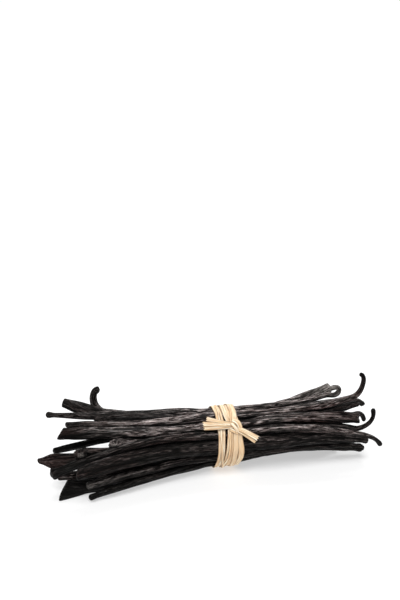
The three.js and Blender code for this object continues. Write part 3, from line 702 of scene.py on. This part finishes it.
def makeCore():
    # the filling between the pods, out to their middles, that no light falls through; its skin is painted
    # fully dark as shade
    angles = np.linspace(0, 2 * math.pi, core["around"] + 1)
    ways = np.stack([-np.sin(angles), np.cos(angles)], axis=1)
    facing = ways @ ways.T
    stations = np.arange(core["from"], core["to"] + 1, setting["station"])
    rings = []
    for k, x in enumerate(stations):
        places = np.array([route["place"][list(route["x"]).index(x)] for route in routes])
        middle = places.mean(axis=0)
        support = ((places - middle) @ ways.T).max(axis=0)
        ahead = facing > core["facing"]
        limits = np.where(ahead, support / np.maximum(facing, core["facing"]), np.inf)
        inward = min(k, len(stations) - 1 - k, len(core["taper"]) - 1)
        ring = middle + ways * (limits.min(axis=1) * core["taper"][inward])[:, None]
        rings.append(np.column_stack([np.full(len(angles), x), ring]))
    rings = [rings[0] * 0 + rings[0].mean(axis=0), *rings, rings[-1] * 0 + rings[-1].mean(axis=0)]
    corners = np.array(rings) + tieMiddle
    sheet = sheetFrom("core", corners.shape)
    none = np.zeros(corners.shape[:2])
    setCorners(sheet, corners, {"skin": corners},
               {"red": none, "pale": none, "paintedShade": none + 1, "bloomAndPaintedLight": none, "shadeBetween": none + 1})
    closeSheet(sheet)
    return sheet


frontPods, backPods = [], [makeCore()]
for number, (pod, route) in enumerate(zip(pods, routes)):
    (frontPods if pod["seen"] else backPods).append(makePod(number, pod, route))
podsFront = joined(frontPods, "pods_front")
podsBack = joined(backPods, "pods_back")
print("pods made:", len(podsFront.data.polygons), "and", len(podsBack.data.polygons), "faces")


# The raffia: turns round the pods, a knot and its tails.
raffia = {
    "base": 0.25,  # of the first strands over the pods
    "layer": 0.4,  # between strands that lie on each other
    "thick": 0.32,
    "across": 12,  # faces across a strand
    "spacing": 0.9,  # between its rows
    "fold": 0.28,  # height of its lengthwise folds
    "fray": 0.35,  # how uneven the cut ends are
    "crown": 0.1,  # how much lower its edges lie than its middle
    "uneven": 0.12,  # of its half width along its length
    "unevenWave": 6,
    "folds": ((1.7, 26, 5.1, 0), (4.5, 14, 9.1, 7)),  # closeness, length, place in the noise
    "foldGain": 1.3,
    "apart": (17, 61),  # between the grains of two strands, across and along
    "tan": 0.7,  # how brown a strand is, and how much that differs
    "tanSpread": 0.5,
    "topPale": 0.9,  # how much paler it is where it faces up, as painted top light
    "topLeast": 0.3,  # of facing up, below which it gets no darker
    "lowest": 0.05,  # height that no strand goes below
    "smooth": 50,  # degrees up to which its faces are shaded as one
}

outline = {"steps": 720, "near": 4}  # directions round the tie, and the steps over which it slopes
wayScale = np.array([1, 0.285, 1, 1, 0.1])  # a degree round the tie is about 0.285 mm


def tieOutline():
    # the tight outline round all pods in the tie, as points with their polar angles
    angles = np.linspace(0, 2 * math.pi, outline["steps"], endpoint=False)
    outward = np.stack([-np.sin(angles), np.cos(angles)], axis=1)
    reach = np.full(len(angles), -np.inf)
    keys = ("x", "place", "radius", "half", "flat")
    for route in routes:
        for x, place, radius, half, flat in zip(*(route[key] for key in keys)):
            if abs(x) <= bundle["tieHalf"]:
                off = place - np.array([0, bundle["height"]])
                across = np.abs(outward @ flat)
                reach = np.maximum(reach, outward @ off + radius + half * across)
    near = outline["near"]
    change = (np.roll(reach, -near) - np.roll(reach, near)) / (angles[2 * near] - angles[0])
    sideways = np.stack([-np.cos(angles), -np.sin(angles)], axis=1)
    points = outward * reach[:, None] + sideways * change[:, None]
    polar = np.unwrap(np.arctan2(-points[:, 0], points[:, 1]))
    return polar, points


outlinePolar, outlinePoints = tieOutline()


def overOutline(degrees, height, x):
    # points over the pods in the tie, at angles from the top towards the front
    polar = np.radians(degrees)
    base = outlinePolar[0]
    found = np.stack([
        np.interp(np.mod(polar - base, 2 * math.pi) + base,
                  np.append(outlinePolar, base + 2 * math.pi),
                  np.append(outlinePoints[:, i], outlinePoints[0, i]))
        for i in (0, 1)
    ], axis=-1)
    outward = np.stack([-np.sin(polar), np.cos(polar)], axis=-1)
    found = found + outward * height[:, None]
    return np.stack([x, found[:, 0], found[:, 1] + bundle["height"]], axis=-1)


def foldHeight(share, along, seed):
    # the broad and the narrow folds of a strand, at a share of its half width
    height = 0
    for close, long, aside, deeper in raffia["folds"]:
        place = Vector((share * close + seed * aside, along / long, seed + deeper))
        height += raffia["foldGain"] * noise.noise(place)
    return raffia["fold"] * height


def shadeOf(seed, outward, shade):
    # how brown a strand is: its own shade, with a painted top light, paler where it faces up and darker
    # where it turns down under the bundle
    own = shade or math.sin(seed * 12.9) * raffia["tanSpread"] + raffia["tan"]
    return own - raffia["topPale"] * np.clip(outward[:, 2:], raffia["topLeast"], 1)


def strandFrames(way):
    # middle, forward, across and outward at each row of a strand, with its half width there
    way = smoothCurve(np.array(way, float) * wayScale, 12) / wayScale
    line = overOutline(way[:, 1], way[:, 2], way[:, 0])
    at = lengthsAlong(line)
    rows = max(6, round(at[-1] / raffia["spacing"]))
    alongs = np.linspace(0, at[-1], rows + 1)
    middle = pick(line, at, alongs)
    values = pick(way, at, alongs)
    forward = unit(np.gradient(middle, axis=0))
    polar = np.radians(values[:, 1])
    outward = np.stack([np.zeros(len(polar)), -np.sin(polar), np.cos(polar)], axis=1)
    outward = unit(outward - forward * (outward * forward).sum(1, keepdims=True))
    across = np.cross(forward, outward)
    roll = np.radians(values[:, 4])[:, None]
    across, outward = (across * np.cos(roll) + outward * np.sin(roll),
                       outward * np.cos(roll) - across * np.sin(roll))
    return alongs, middle, forward, across, outward, values[:, 3]


def strandSheet(name, way, seed, fray=0.0, shade=None):
    # a flat fibre strip along a way, with folds, uneven edges and frayed ends
    alongs, middle, forward, across, outward, halves = strandFrames(way)
    sideShares = np.linspace(-1, 1, raffia["across"] + 1)
    apart = raffia["apart"]
    corners = np.empty((len(alongs), len(sideShares), 3))
    skin = np.empty(corners.shape)
    for k, along in enumerate(alongs):
        uneven = noise.noise(Vector((along / raffia["unevenWave"], seed * 3.7, 0)))
        half = halves[k] * (1 + raffia["uneven"] * uneven)
        for j, share in enumerate(sideShares):
            rise = foldHeight(share, along, seed) - raffia["crown"] * share ** 2
            end = fray * math.sin(seed * 9 + share * 7) if k in (0, len(alongs) - 1) else 0
            corners[k, j] = (middle[k] + across[k] * half * share + outward[k] * rise
                             + forward[k] * (end if k else -end))
            skin[k, j] = (half * share + seed * apart[0], rise, along + seed * apart[1])
    corners += tieMiddle
    corners[..., 2] = np.maximum(corners[..., 2], raffia["lowest"])
    shades = shadeOf(seed, outward, shade) * np.ones(corners.shape[:2])
    # how near a strand's edge each corner lies, for the painted shade along the lines where strands meet
    edge = np.broadcast_to(np.abs(sideShares), corners.shape[:2])
    sheet = sheetFrom(name, corners.shape)
    setCorners(sheet, corners, {"skin": skin}, {"shade": shades, "edge": edge})
    solidify = sheet.modifiers.new("thickness", "SOLIDIFY")
    solidify.thickness = raffia["thick"] * mm
    solidify.offset = 0
    bpy.ops.object.modifier_apply(modifier="thickness")
    bpy.ops.object.mode_set(mode="EDIT")
    bpy.ops.mesh.select_all(action="SELECT")
    bpy.ops.mesh.normals_make_consistent(inside=False)
    bpy.ops.object.mode_set(mode="OBJECT")
    bpy.ops.object.shade_smooth_by_angle(angle=math.radians(raffia["smooth"]))
    return sheet


# Each turn's places along the bundle at these angles from the top towards the front, its half
# widths there, and the layer that it lies in. Below, each row of a strand's way is its place
# along the bundle, its degrees from the top, its height, its half width and its roll.
turnAngles = (-20, 15, 44, 70, 105, 140, 250)
turns = [
    {"x": (-4.7, -4.9, -5.2, -5.6, -6.4, -6.9, -5.7),
     "half": (1.5, 1.3, 1.2, 0.75, 0.7, 0.9, 1.2), "layer": 1},
    {"x": (-2.9, -2.9, -2.9, -3.6, -4.4, -5.2, -4.2),
     "half": (0.6, 0.5, 0.8, 0.9, 1.2, 1.2, 1.3), "layer": 0},
    {"x": (-0.5, -0.7, 0.2, -0.6, -1.9, -3.0, -2.4),
     "half": (1.3, 1.3, 1.0, 0.95, 1.1, 1.3, 1.3), "layer": 1},
    {"x": (1.9, 1.5, 1.9, 1.2, 0.3, -0.4, -0.3),
     "half": (1.6, 1.5, 1.0, 1.0, 1.2, 1.3, 1.3), "layer": 0},
    {"x": (4.3, 4.1, 3.3, 3.3, 2.5, 2.1, 2.0),
     "half": (1.7, 1.7, 1.3, 1.4, 1.5, 1.4, 1.3), "layer": 1},
    {"x": (4.6, 4.4, 4.9, 5.5, 6.1, 4.7, 4.4),
     "half": (1.0, 1.2, 1.2, 1.5, 1.7, 1.5, 1.3), "layer": 0},
    {"x": (3.0, 2.4, 0.9, 0.1, -1.2, -3.0, 0.8),
     "half": (0.5, 0.5, 0.5, 0.5, 0.55, 0.6, 0.7), "layer": 2},
    {"x": (-3.6, -4.3, -4.4, -4.9, -4.6, -3.2, 0.8),
     "half": (0.4, 0.4, 0.45, 0.5, 0.5, 0.6, 0.7), "layer": 2},
]


def turnWay(turn):
    # once round the bundle and back to where it began
    height = raffia["base"] + raffia["layer"] * turn["layer"]
    way = [[x, angle, height, half, 0] for angle, x, half in zip(turnAngles, turn["x"], turn["half"])]
    return way + [[turn["x"][0], turnAngles[0] + 360, height, turn["half"][0], 0]]


strands = [strandSheet(f"turn{k}", turnWay(turn), k + 1) for k, turn in enumerate(turns)]

knotWays = [
    # the shoulder that runs down into the right tail, the wrap over it, and the fold under both
    [[2.4, 32, 0.2, 1.0, 0], [3.6, 36.5, 1.7, 1.3, 0], [4.9, 42, 2.4, 1.3, 0],
     [5.8, 49, 2.3, 1.2, 0], [6.2, 56, 1.3, 1.0, 0]],
    [[1.0, 38, 0.8, 0.8, 0], [1.5, 43, 2.2, 0.9, 0], [2.7, 49, 2.8, 1.0, 0],
     [3.8, 55, 2.2, 1.0, 0], [4.4, 60, 1.0, 0.9, 0]],
    [[0.0, 51, 1.2, 0.7, 0], [1.4, 54, 1.9, 0.9, 0], [3.0, 57, 1.7, 1.0, 0], [4.6, 60, 1.0, 0.8, 0]],
]
knotShades = (0.4, 2.2, 1.2)
strands += [
    strandSheet(f"knot{k}", way, 20 + k, shade=shade)
    for k, (way, shade) in enumerate(zip(knotWays, knotShades))
]

tailWays = [
    [[3.0, 43, 1.6, 1.1, 0], [-1.5, 41, 2.2, 1.1, 10], [-6.5, 36, 2.8, 1.1, -10],
     [-12.0, 31, 3.4, 1.3, 0]],
    [[3.0, 45, 1.5, 1.1, 0], [-2.0, 43.5, 2.1, 1.2, 0], [-8.0, 41.5, 2.6, 1.3, 10],
     [-14.4, 39.5, 3.1, 1.4, 0]],
    [[3.0, 47, 1.4, 1.1, 0], [-2.0, 47, 1.9, 1.1, 0], [-8.0, 46.5, 2.3, 1.2, 0],
     [-14.2, 46, 2.6, 1.3, 0]],
    [[2.6, 49, 1.7, 1.2, 0], [7.0, 56, 2.2, 1.3, 0], [11.0, 64, 2.4, 1.4, 0], [15.0, 72, 2.5, 1.4, 0]],
    [[3.2, 53, 1.4, 1.0, 0], [7.0, 61, 1.8, 0.9, 0], [10.5, 70, 2.0, 0.8, 0], [13.4, 78, 2.2, 0.7, 0]],
]
strands += [strandSheet(f"tail{k}", way, 30 + k, fray=raffia["fray"]) for k, way in enumerate(tailWays)]
tie = joined(strands, "raffia_strands")
print("raffia made:", len(tie.data.polygons), "faces")


def addNode(tree, kind, place, inputs=None, **settings):
    # each input is a number, a colour or another node's output
    node = tree.nodes.new(kind)
    node.location = place
    for name, value in settings.items():
        setattr(node, name, value)
    for name, value in (inputs or {}).items():
        if isinstance(value, bpy.types.NodeSocket):
            tree.links.new(value, node.inputs[name])
        else:
            node.inputs[name].default_value = value
    return node


def makeGrainGroup():
    # streaks that are drawn out along a piece, for pod skin and raffia alike
    group = bpy.data.node_groups.new("lengthGrain", "ShaderNodeTree")
    sockets = group.interface
    sockets.new_socket("Vector", in_out="INPUT", socket_type="NodeSocketVector")
    for name, value in (("Across", 1.0), ("Along", 0.1), ("Detail", 2.0), ("Sharpness", 3.0)):
        sockets.new_socket(name, in_out="INPUT", socket_type="NodeSocketFloat").default_value = value
    for name in ("Streak", "Crease"):
        sockets.new_socket(name, in_out="OUTPUT", socket_type="NodeSocketFloat")
    start = addNode(group, "NodeGroupInput", (-900, 0))
    across, along = start.outputs["Across"], start.outputs["Along"]
    stretch = addNode(group, "ShaderNodeCombineXYZ", (-700, -120), {"X": across, "Y": across, "Z": along})
    scaled = addNode(group, "ShaderNodeVectorMath", (-500, 0),
                     {0: start.outputs["Vector"], 1: stretch.outputs["Vector"]}, operation="MULTIPLY")
    texture = addNode(group, "ShaderNodeTexNoise", (-300, 0),
                      {"Vector": scaled.outputs[0], "Scale": 1.0, "Detail": start.outputs["Detail"],
                       "Roughness": 0.55})
    level = addNode(group, "ShaderNodeMath", (-100, -120), {0: texture.outputs["Fac"], 1: 0.5},
                    operation="SUBTRACT")
    size = addNode(group, "ShaderNodeMath", (60, -120), {0: level.outputs[0]}, operation="ABSOLUTE")
    steep = addNode(group, "ShaderNodeMath", (220, -120),
                    {0: size.outputs[0], 1: start.outputs["Sharpness"]}, operation="MULTIPLY")
    crease = addNode(group, "ShaderNodeMath", (380, -120), {0: 1.0, 1: steep.outputs[0]},
                     operation="SUBTRACT", use_clamp=True)
    addNode(group, "NodeGroupOutput", (560, 0),
            {"Streak": texture.outputs["Fac"], "Crease": crease.outputs[0]})
    return group


grainGroup = makeGrainGroup()


def grain(tree, place, vector, across, along, detail=2.0, sharpness=3.0):
    # across and along say how close its streaks are in each direction
    return addNode(tree, "ShaderNodeGroup", place,
                   {"Vector": vector, "Across": across, "Along": along, "Detail": detail,
                    "Sharpness": sharpness}, node_tree=grainGroup)


def mapped(tree, place, value, low, high, toLow=0.0, toHigh=1.0):
    node = addNode(tree, "ShaderNodeMapRange", place,
                   {"Value": value, "From Min": low, "From Max": high, "To Min": toLow, "To Max": toHigh})
    return node.outputs["Result"]


def times(tree, place, one, two):
    return addNode(tree, "ShaderNodeMath", place, {0: one, 1: two}, operation="MULTIPLY").outputs[0]


def blended(tree, place, share, one, two):
    # a mix of two colours; these are the numbers of a Mix node's colour sockets
    node = addNode(tree, "ShaderNodeMix", place, {0: share, 6: one, 7: two}, data_type="RGBA")
    return node.outputs[2]


def newMaterial(name):
    material = bpy.data.materials.new(name)
    material.use_nodes = True
    tree = material.node_tree
    shader = tree.nodes["Principled BSDF"]
    shader.location = (900, 0)
    tree.nodes["Material Output"].location = (1200, 0)
    return material, tree, shader


podLook = {
    "dark": (0.0026, 0.0024, 0.0019, 1),  # the skin, and its streaks
    "brown": (0.022, 0.0195, 0.0155, 1),
    "haze": (0.125, 0.098, 0.092, 1),  # a dull film over whole stretches, laid on with the bloom, so it is also a painted sheen that is lighter on upward-facing skin
    "hazeShare": 0.6,
    "red": (0.085, 0.036, 0.030, 1),
    "redShare": 1.0,
    "bloomAndPaintedLight": (0.72, 0.60, 0.57, 1),  # dust and painted highlight on the crests, with bright painted glints
    "glint": (0.85, 0.80, 0.78, 1),
    # painted shade: near black, laid into furrows, creases and between the pods
    "paintedShade": (0.0012, 0.0011, 0.0009, 1),
    "scar": (0.60, 0.55, 0.51, 1),
    "oil": 0.55,  # of a thin oily coat on the ridges
    "coatRoughness": 0.3,
    "specular": 0.1,
    "bump": 0.9,
    "bumpDepth": 0.0009,  # metres
}


def makePodMaterial():
    material, tree, shader = newMaterial("curedPodSkin")
    skin = addNode(tree, "ShaderNodeAttribute", (-1500, 200), attribute_name="skin").outputs["Vector"]
    number = {
        name: addNode(tree, "ShaderNodeAttribute", (-1500, -120 * k), attribute_name=name).outputs["Fac"]
        for k, name in enumerate(("red", "pale", "paintedShade", "bloomAndPaintedLight", "shadeBetween"))
    }
    broad = grain(tree, (-1200, 500), skin, 0.30, 0.05, 3.0)
    streaks = grain(tree, (-1200, 250), skin, 0.9, 0.08, 3.0)
    ridges = grain(tree, (-1200, 0), skin, 2.5, 0.2, 3.0)
    fine = grain(tree, (-1200, -250), skin, 3.4, 0.45, 3.0)
    patches = grain(tree, (-1200, -500), skin, 0.22, 0.05)
    dashes = grain(tree, (-1200, -750), skin, 1.9, 0.6)

    # dark skin with brown streaks, a haze and red patches; the streaks and the haze grow with the bloom,
    # so they also paint the upper pods and upward-facing skin lighter
    brownish = times(tree, (-850, 500), mapped(tree, (-950, 500), streaks.outputs["Streak"], 0.42, 0.60),
                     mapped(tree, (-950, 350), number["bloomAndPaintedLight"], 0, 0.4, 0.25, 1))
    colour = blended(tree, (-700, 500), brownish, podLook["dark"], podLook["brown"])
    misty = mapped(tree, (-950, 700), broad.outputs["Streak"], 0.38, 0.62, 0.05, 1)
    hazeAndTopLight = times(tree, (-750, 600), misty, number["bloomAndPaintedLight"])
    colour = blended(tree, (-600, 600), times(tree, (-650, 700), hazeAndTopLight, podLook["hazeShare"]),
                     colour, podLook["haze"])
    patchy = mapped(tree, (-950, 250), patches.outputs["Streak"], 0.43, 0.60, 0, podLook["redShare"])
    reddish = times(tree, (-750, 250), patchy, number["red"])
    colour = blended(tree, (-500, 400), reddish, colour, podLook["red"])

    # dusty crests with painted highlights and bright painted glints
    crest = times(tree, (-750, 0), mapped(tree, (-950, 0), ridges.outputs["Streak"], 0.48, 0.55),
                  mapped(tree, (-950, -150), broad.outputs["Streak"], 0.38, 0.62, 0.2, 1.0))
    dustAndHighlight = times(tree, (-550, 0), crest, number["bloomAndPaintedLight"])
    colour = blended(tree, (-300, 300), dustAndHighlight, colour, podLook["bloomAndPaintedLight"])
    paintedGlint = times(tree, (-300, -400), mapped(tree, (-500, -400), dashes.outputs["Streak"], 0.54, 0.63),
                  dustAndHighlight)
    colour = blended(tree, (-200, 250), paintedGlint, colour, podLook["glint"])

    # painted shade in the furrows and creases, pale scars, and painted shade where a pod lies against
    # others
    furrow = mapped(tree, (-500, -50), ridges.outputs["Streak"], 0.43, 0.50, 0.93, 0)
    hollowShade = mapped(tree, (-500, 100), number["paintedShade"], 0.2, 0.75, 0, 0.92)
    hollowShade = addNode(tree, "ShaderNodeMath", (-300, 0), {0: furrow, 1: hollowShade},
                     operation="MAXIMUM").outputs[0]
    colour = blended(tree, (-100, 200), hollowShade, colour, podLook["paintedShade"])
    scarred = times(tree, (-300, -200), number["pale"],
                    mapped(tree, (-500, -200), ridges.outputs["Streak"], 0.42, 0.58, 0.1, 1.0))
    colour = blended(tree, (100, 100), scarred, colour, podLook["scar"])
    colour = blended(tree, (300, 50), mapped(tree, (100, -50), number["shadeBetween"], 0.1, 0.85, 0, 0.97),
                     colour, podLook["paintedShade"])
    tree.links.new(colour, shader.inputs["Base Color"])

    # an oily sheen on the ridges, less in the furrows and where the bloom and its painted light are low
    tree.links.new(mapped(tree, (300, -200), fine.outputs["Streak"], 0.3, 0.7, 0.36, 0.58),
                   shader.inputs["Roughness"])
    shiny = mapped(tree, (100, -300), ridges.outputs["Streak"], 0.46, 0.60, 0, podLook["oil"])
    oily = times(tree, (300, -300), shiny, mapped(tree, (100, -500), hollowShade, 0, 0.5, 1, 0))
    oily = times(tree, (500, -300), oily, mapped(tree, (300, -500), number["bloomAndPaintedLight"], 0, 0.5, 0.3, 1))
    tree.links.new(oily, shader.inputs["Coat Weight"])
    height = addNode(tree, "ShaderNodeMath", (100, -700),
                     {0: ridges.outputs["Streak"], 1: 2.0, 2: fine.outputs["Streak"]},
                     operation="MULTIPLY_ADD")
    bump = addNode(tree, "ShaderNodeBump", (500, -400),
                   {"Strength": podLook["bump"], "Distance": podLook["bumpDepth"],
                    "Height": height.outputs[0]})
    tree.links.new(bump.outputs["Normal"], shader.inputs["Normal"])
    shader.inputs["Specular IOR Level"].default_value = podLook["specular"]
    shader.inputs["Coat Roughness"].default_value = podLook["coatRoughness"]
    return material


raffiaLook = {
    "straw": (0.92, 0.77, 0.52, 1),
    "cream": (1.0, 0.95, 0.79, 1),  # its pale fibres
    "tan": (0.76, 0.50, 0.27, 1),  # its bands and splits
    # painted shade along the strands' edges, where they lie against each other
    "edge": (0.24, 0.12, 0.05, 1),
    "bump": 0.8,
    "bumpDepth": 0.0003,  # metres
    "sheen": 0.1,
}


def makeRaffiaMaterial():
    material, tree, shader = newMaterial("driedRaffia")
    skin = addNode(tree, "ShaderNodeAttribute", (-1300, 200), attribute_name="skin").outputs["Vector"]
    shade, edge = (
        addNode(tree, "ShaderNodeAttribute", (-1300, place), attribute_name=name).outputs["Fac"]
        for name, place in (("shade", -100), ("edge", -250))
    )
    fibres = grain(tree, (-1000, 300), skin, 1.5, 0.05, 3.0)
    bands = grain(tree, (-1000, 0), skin, 0.8, 0.04, 3.0, 8.0)
    fine = grain(tree, (-1000, -300), skin, 5.0, 0.2)
    colour = blended(tree, (-500, 300), mapped(tree, (-750, 300), fibres.outputs["Streak"], 0.44, 0.56),
                     raffiaLook["straw"], raffiaLook["cream"])
    banded = mapped(tree, (-750, 0), bands.outputs["Streak"], 0.46, 0.64, 0, 0.9)
    tanned = times(tree, (-500, 0), banded, mapped(tree, (-750, -250), shade, -0.3, 1.3, 0, 1.1))
    colour = blended(tree, (-250, 200), tanned, colour, raffiaLook["tan"])
    split = mapped(tree, (-300, 0), bands.outputs["Crease"], 0.2, 0.9, 0, 0.9)
    colour = blended(tree, (-100, 100), split, colour, raffiaLook["tan"])
    # painted shade along the edges of the strands
    colour = blended(tree, (0, 100), mapped(tree, (-250, -200), edge, 0.75, 1.0, 0, 0.85),
                     colour, raffiaLook["edge"])
    tree.links.new(colour, shader.inputs["Base Color"])
    tree.links.new(mapped(tree, (0, -100), fine.outputs["Streak"], 0.3, 0.7, 0.45, 0.68),
                   shader.inputs["Roughness"])
    height = addNode(tree, "ShaderNodeMath", (100, -400),
                     {0: fibres.outputs["Streak"], 1: 2.0, 2: fine.outputs["Streak"]},
                     operation="MULTIPLY_ADD")
    bump = addNode(tree, "ShaderNodeBump", (300, -300),
                   {"Strength": raffiaLook["bump"], "Distance": raffiaLook["bumpDepth"],
                    "Height": height.outputs[0]})
    tree.links.new(bump.outputs["Normal"], shader.inputs["Normal"])
    shader.inputs["Sheen Weight"].default_value = raffiaLook["sheen"]
    return material


def dress(piece, material, node):
    piece.data.materials.clear()
    piece.data.materials.append(material)
    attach(piece, "root")
    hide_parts(node)


podMaterial = makePodMaterial()
raffiaMaterial = makeRaffiaMaterial()
dress(podsFront, podMaterial, "vanilla_pods")
dress(podsBack, podMaterial, "vanilla_pods")
dress(tie, raffiaMaterial, "raffia_tie")
print("materials set")


stage = {
    "size": 8.0,
    "place": (0, 1.2, 0),
    "colour": (0.5, 0.5, 0.5, 1),
    "roughness": 0.9,
    "glow": 0.5,
    "world": 0.3,
}


def makeStage():
    emptySelection()
    bpy.ops.mesh.primitive_plane_add(size=stage["size"], location=stage["place"])
    floor = bpy.context.object
    floor.name = "floor"
    material, tree, shader = newMaterial("litFloor")
    shader.inputs["Base Color"].default_value = stage["colour"]
    shader.inputs["Roughness"].default_value = stage["roughness"]
    shader.inputs["Emission Color"].default_value = (1, 1, 1, 1)
    shader.inputs["Emission Strength"].default_value = stage["glow"]
    floor.data.materials.append(material)
    world = bpy.data.worlds.new("studio")
    bpy.context.scene.world = world
    world.use_nodes = True
    background = world.node_tree.nodes["Background"]
    background.inputs["Color"].default_value = (1, 1, 1, 1)
    background.inputs["Strength"].default_value = stage["world"]


lamps = [
    {"name": "softKey", "kind": "SUN", "place": (-0.2, -0.45, 0.85), "power": 2.6,
     "size": math.radians(40)},
    {"name": "backLight", "kind": "AREA", "place": (0.1, 0.5, 0.7), "power": 4.0, "size": 0.4},
]


def makeLamps():
    for lamp in lamps:
        emptySelection()
        bpy.ops.object.light_add(type=lamp["kind"], location=lamp["place"])
        light = bpy.context.object
        light.name = lamp["name"]
        if lamp["kind"] == "SUN":
            light.data.angle = lamp["size"]
        else:
            light.data.size = lamp["size"]
        light.data.energy = lamp["power"]
        light.rotation_euler = Vector(lamp["place"]).to_track_quat("Z", "Y").to_euler()


picture = {
    "azimuth": -13,  # of the camera round the bundle
    "elevation": 28,
    "lens": 85,
    "distance": 793.3,  # from the middle of the tie
    "tie": (225, 436),  # pixels, where the tie's middle falls in the render
    "tieHeight": 17.4,  # of that middle over the surface
    "size": (400, 600),  # pixels
    "clip": (0.01, 20),  # metres
}


def makeCamera():
    around, above = math.radians(picture["azimuth"]), math.radians(picture["elevation"])
    level = math.cos(above)
    back = Vector((math.sin(around) * level, -math.cos(around) * level, math.sin(above)))
    right = Vector((math.cos(around), math.sin(around), 0))
    up = back.cross(right)
    target = Vector((*bundle["middle"], picture["tieHeight"]))
    place = target + back * picture["distance"]
    emptySelection()
    bpy.ops.object.camera_add(location=place * mm)
    camera = bpy.context.object
    camera.data.lens = picture["lens"]
    width, height = picture["size"]
    pixel = picture["distance"] * camera.data.sensor_width / (picture["lens"] * height)
    aside, below = picture["tie"][0] - width / 2, picture["tie"][1] - height / 2
    aim = target + up * below * pixel - right * aside * pixel
    camera.rotation_euler = (place - aim).to_track_quat("Z", "Y").to_euler()
    camera.data.clip_start, camera.data.clip_end = picture["clip"]
    bpy.context.scene.camera = camera


makeStage()
makeLamps()
makeCamera()
bpy.context.scene.view_settings.view_transform = "Standard"
print("stage, lights and camera set")
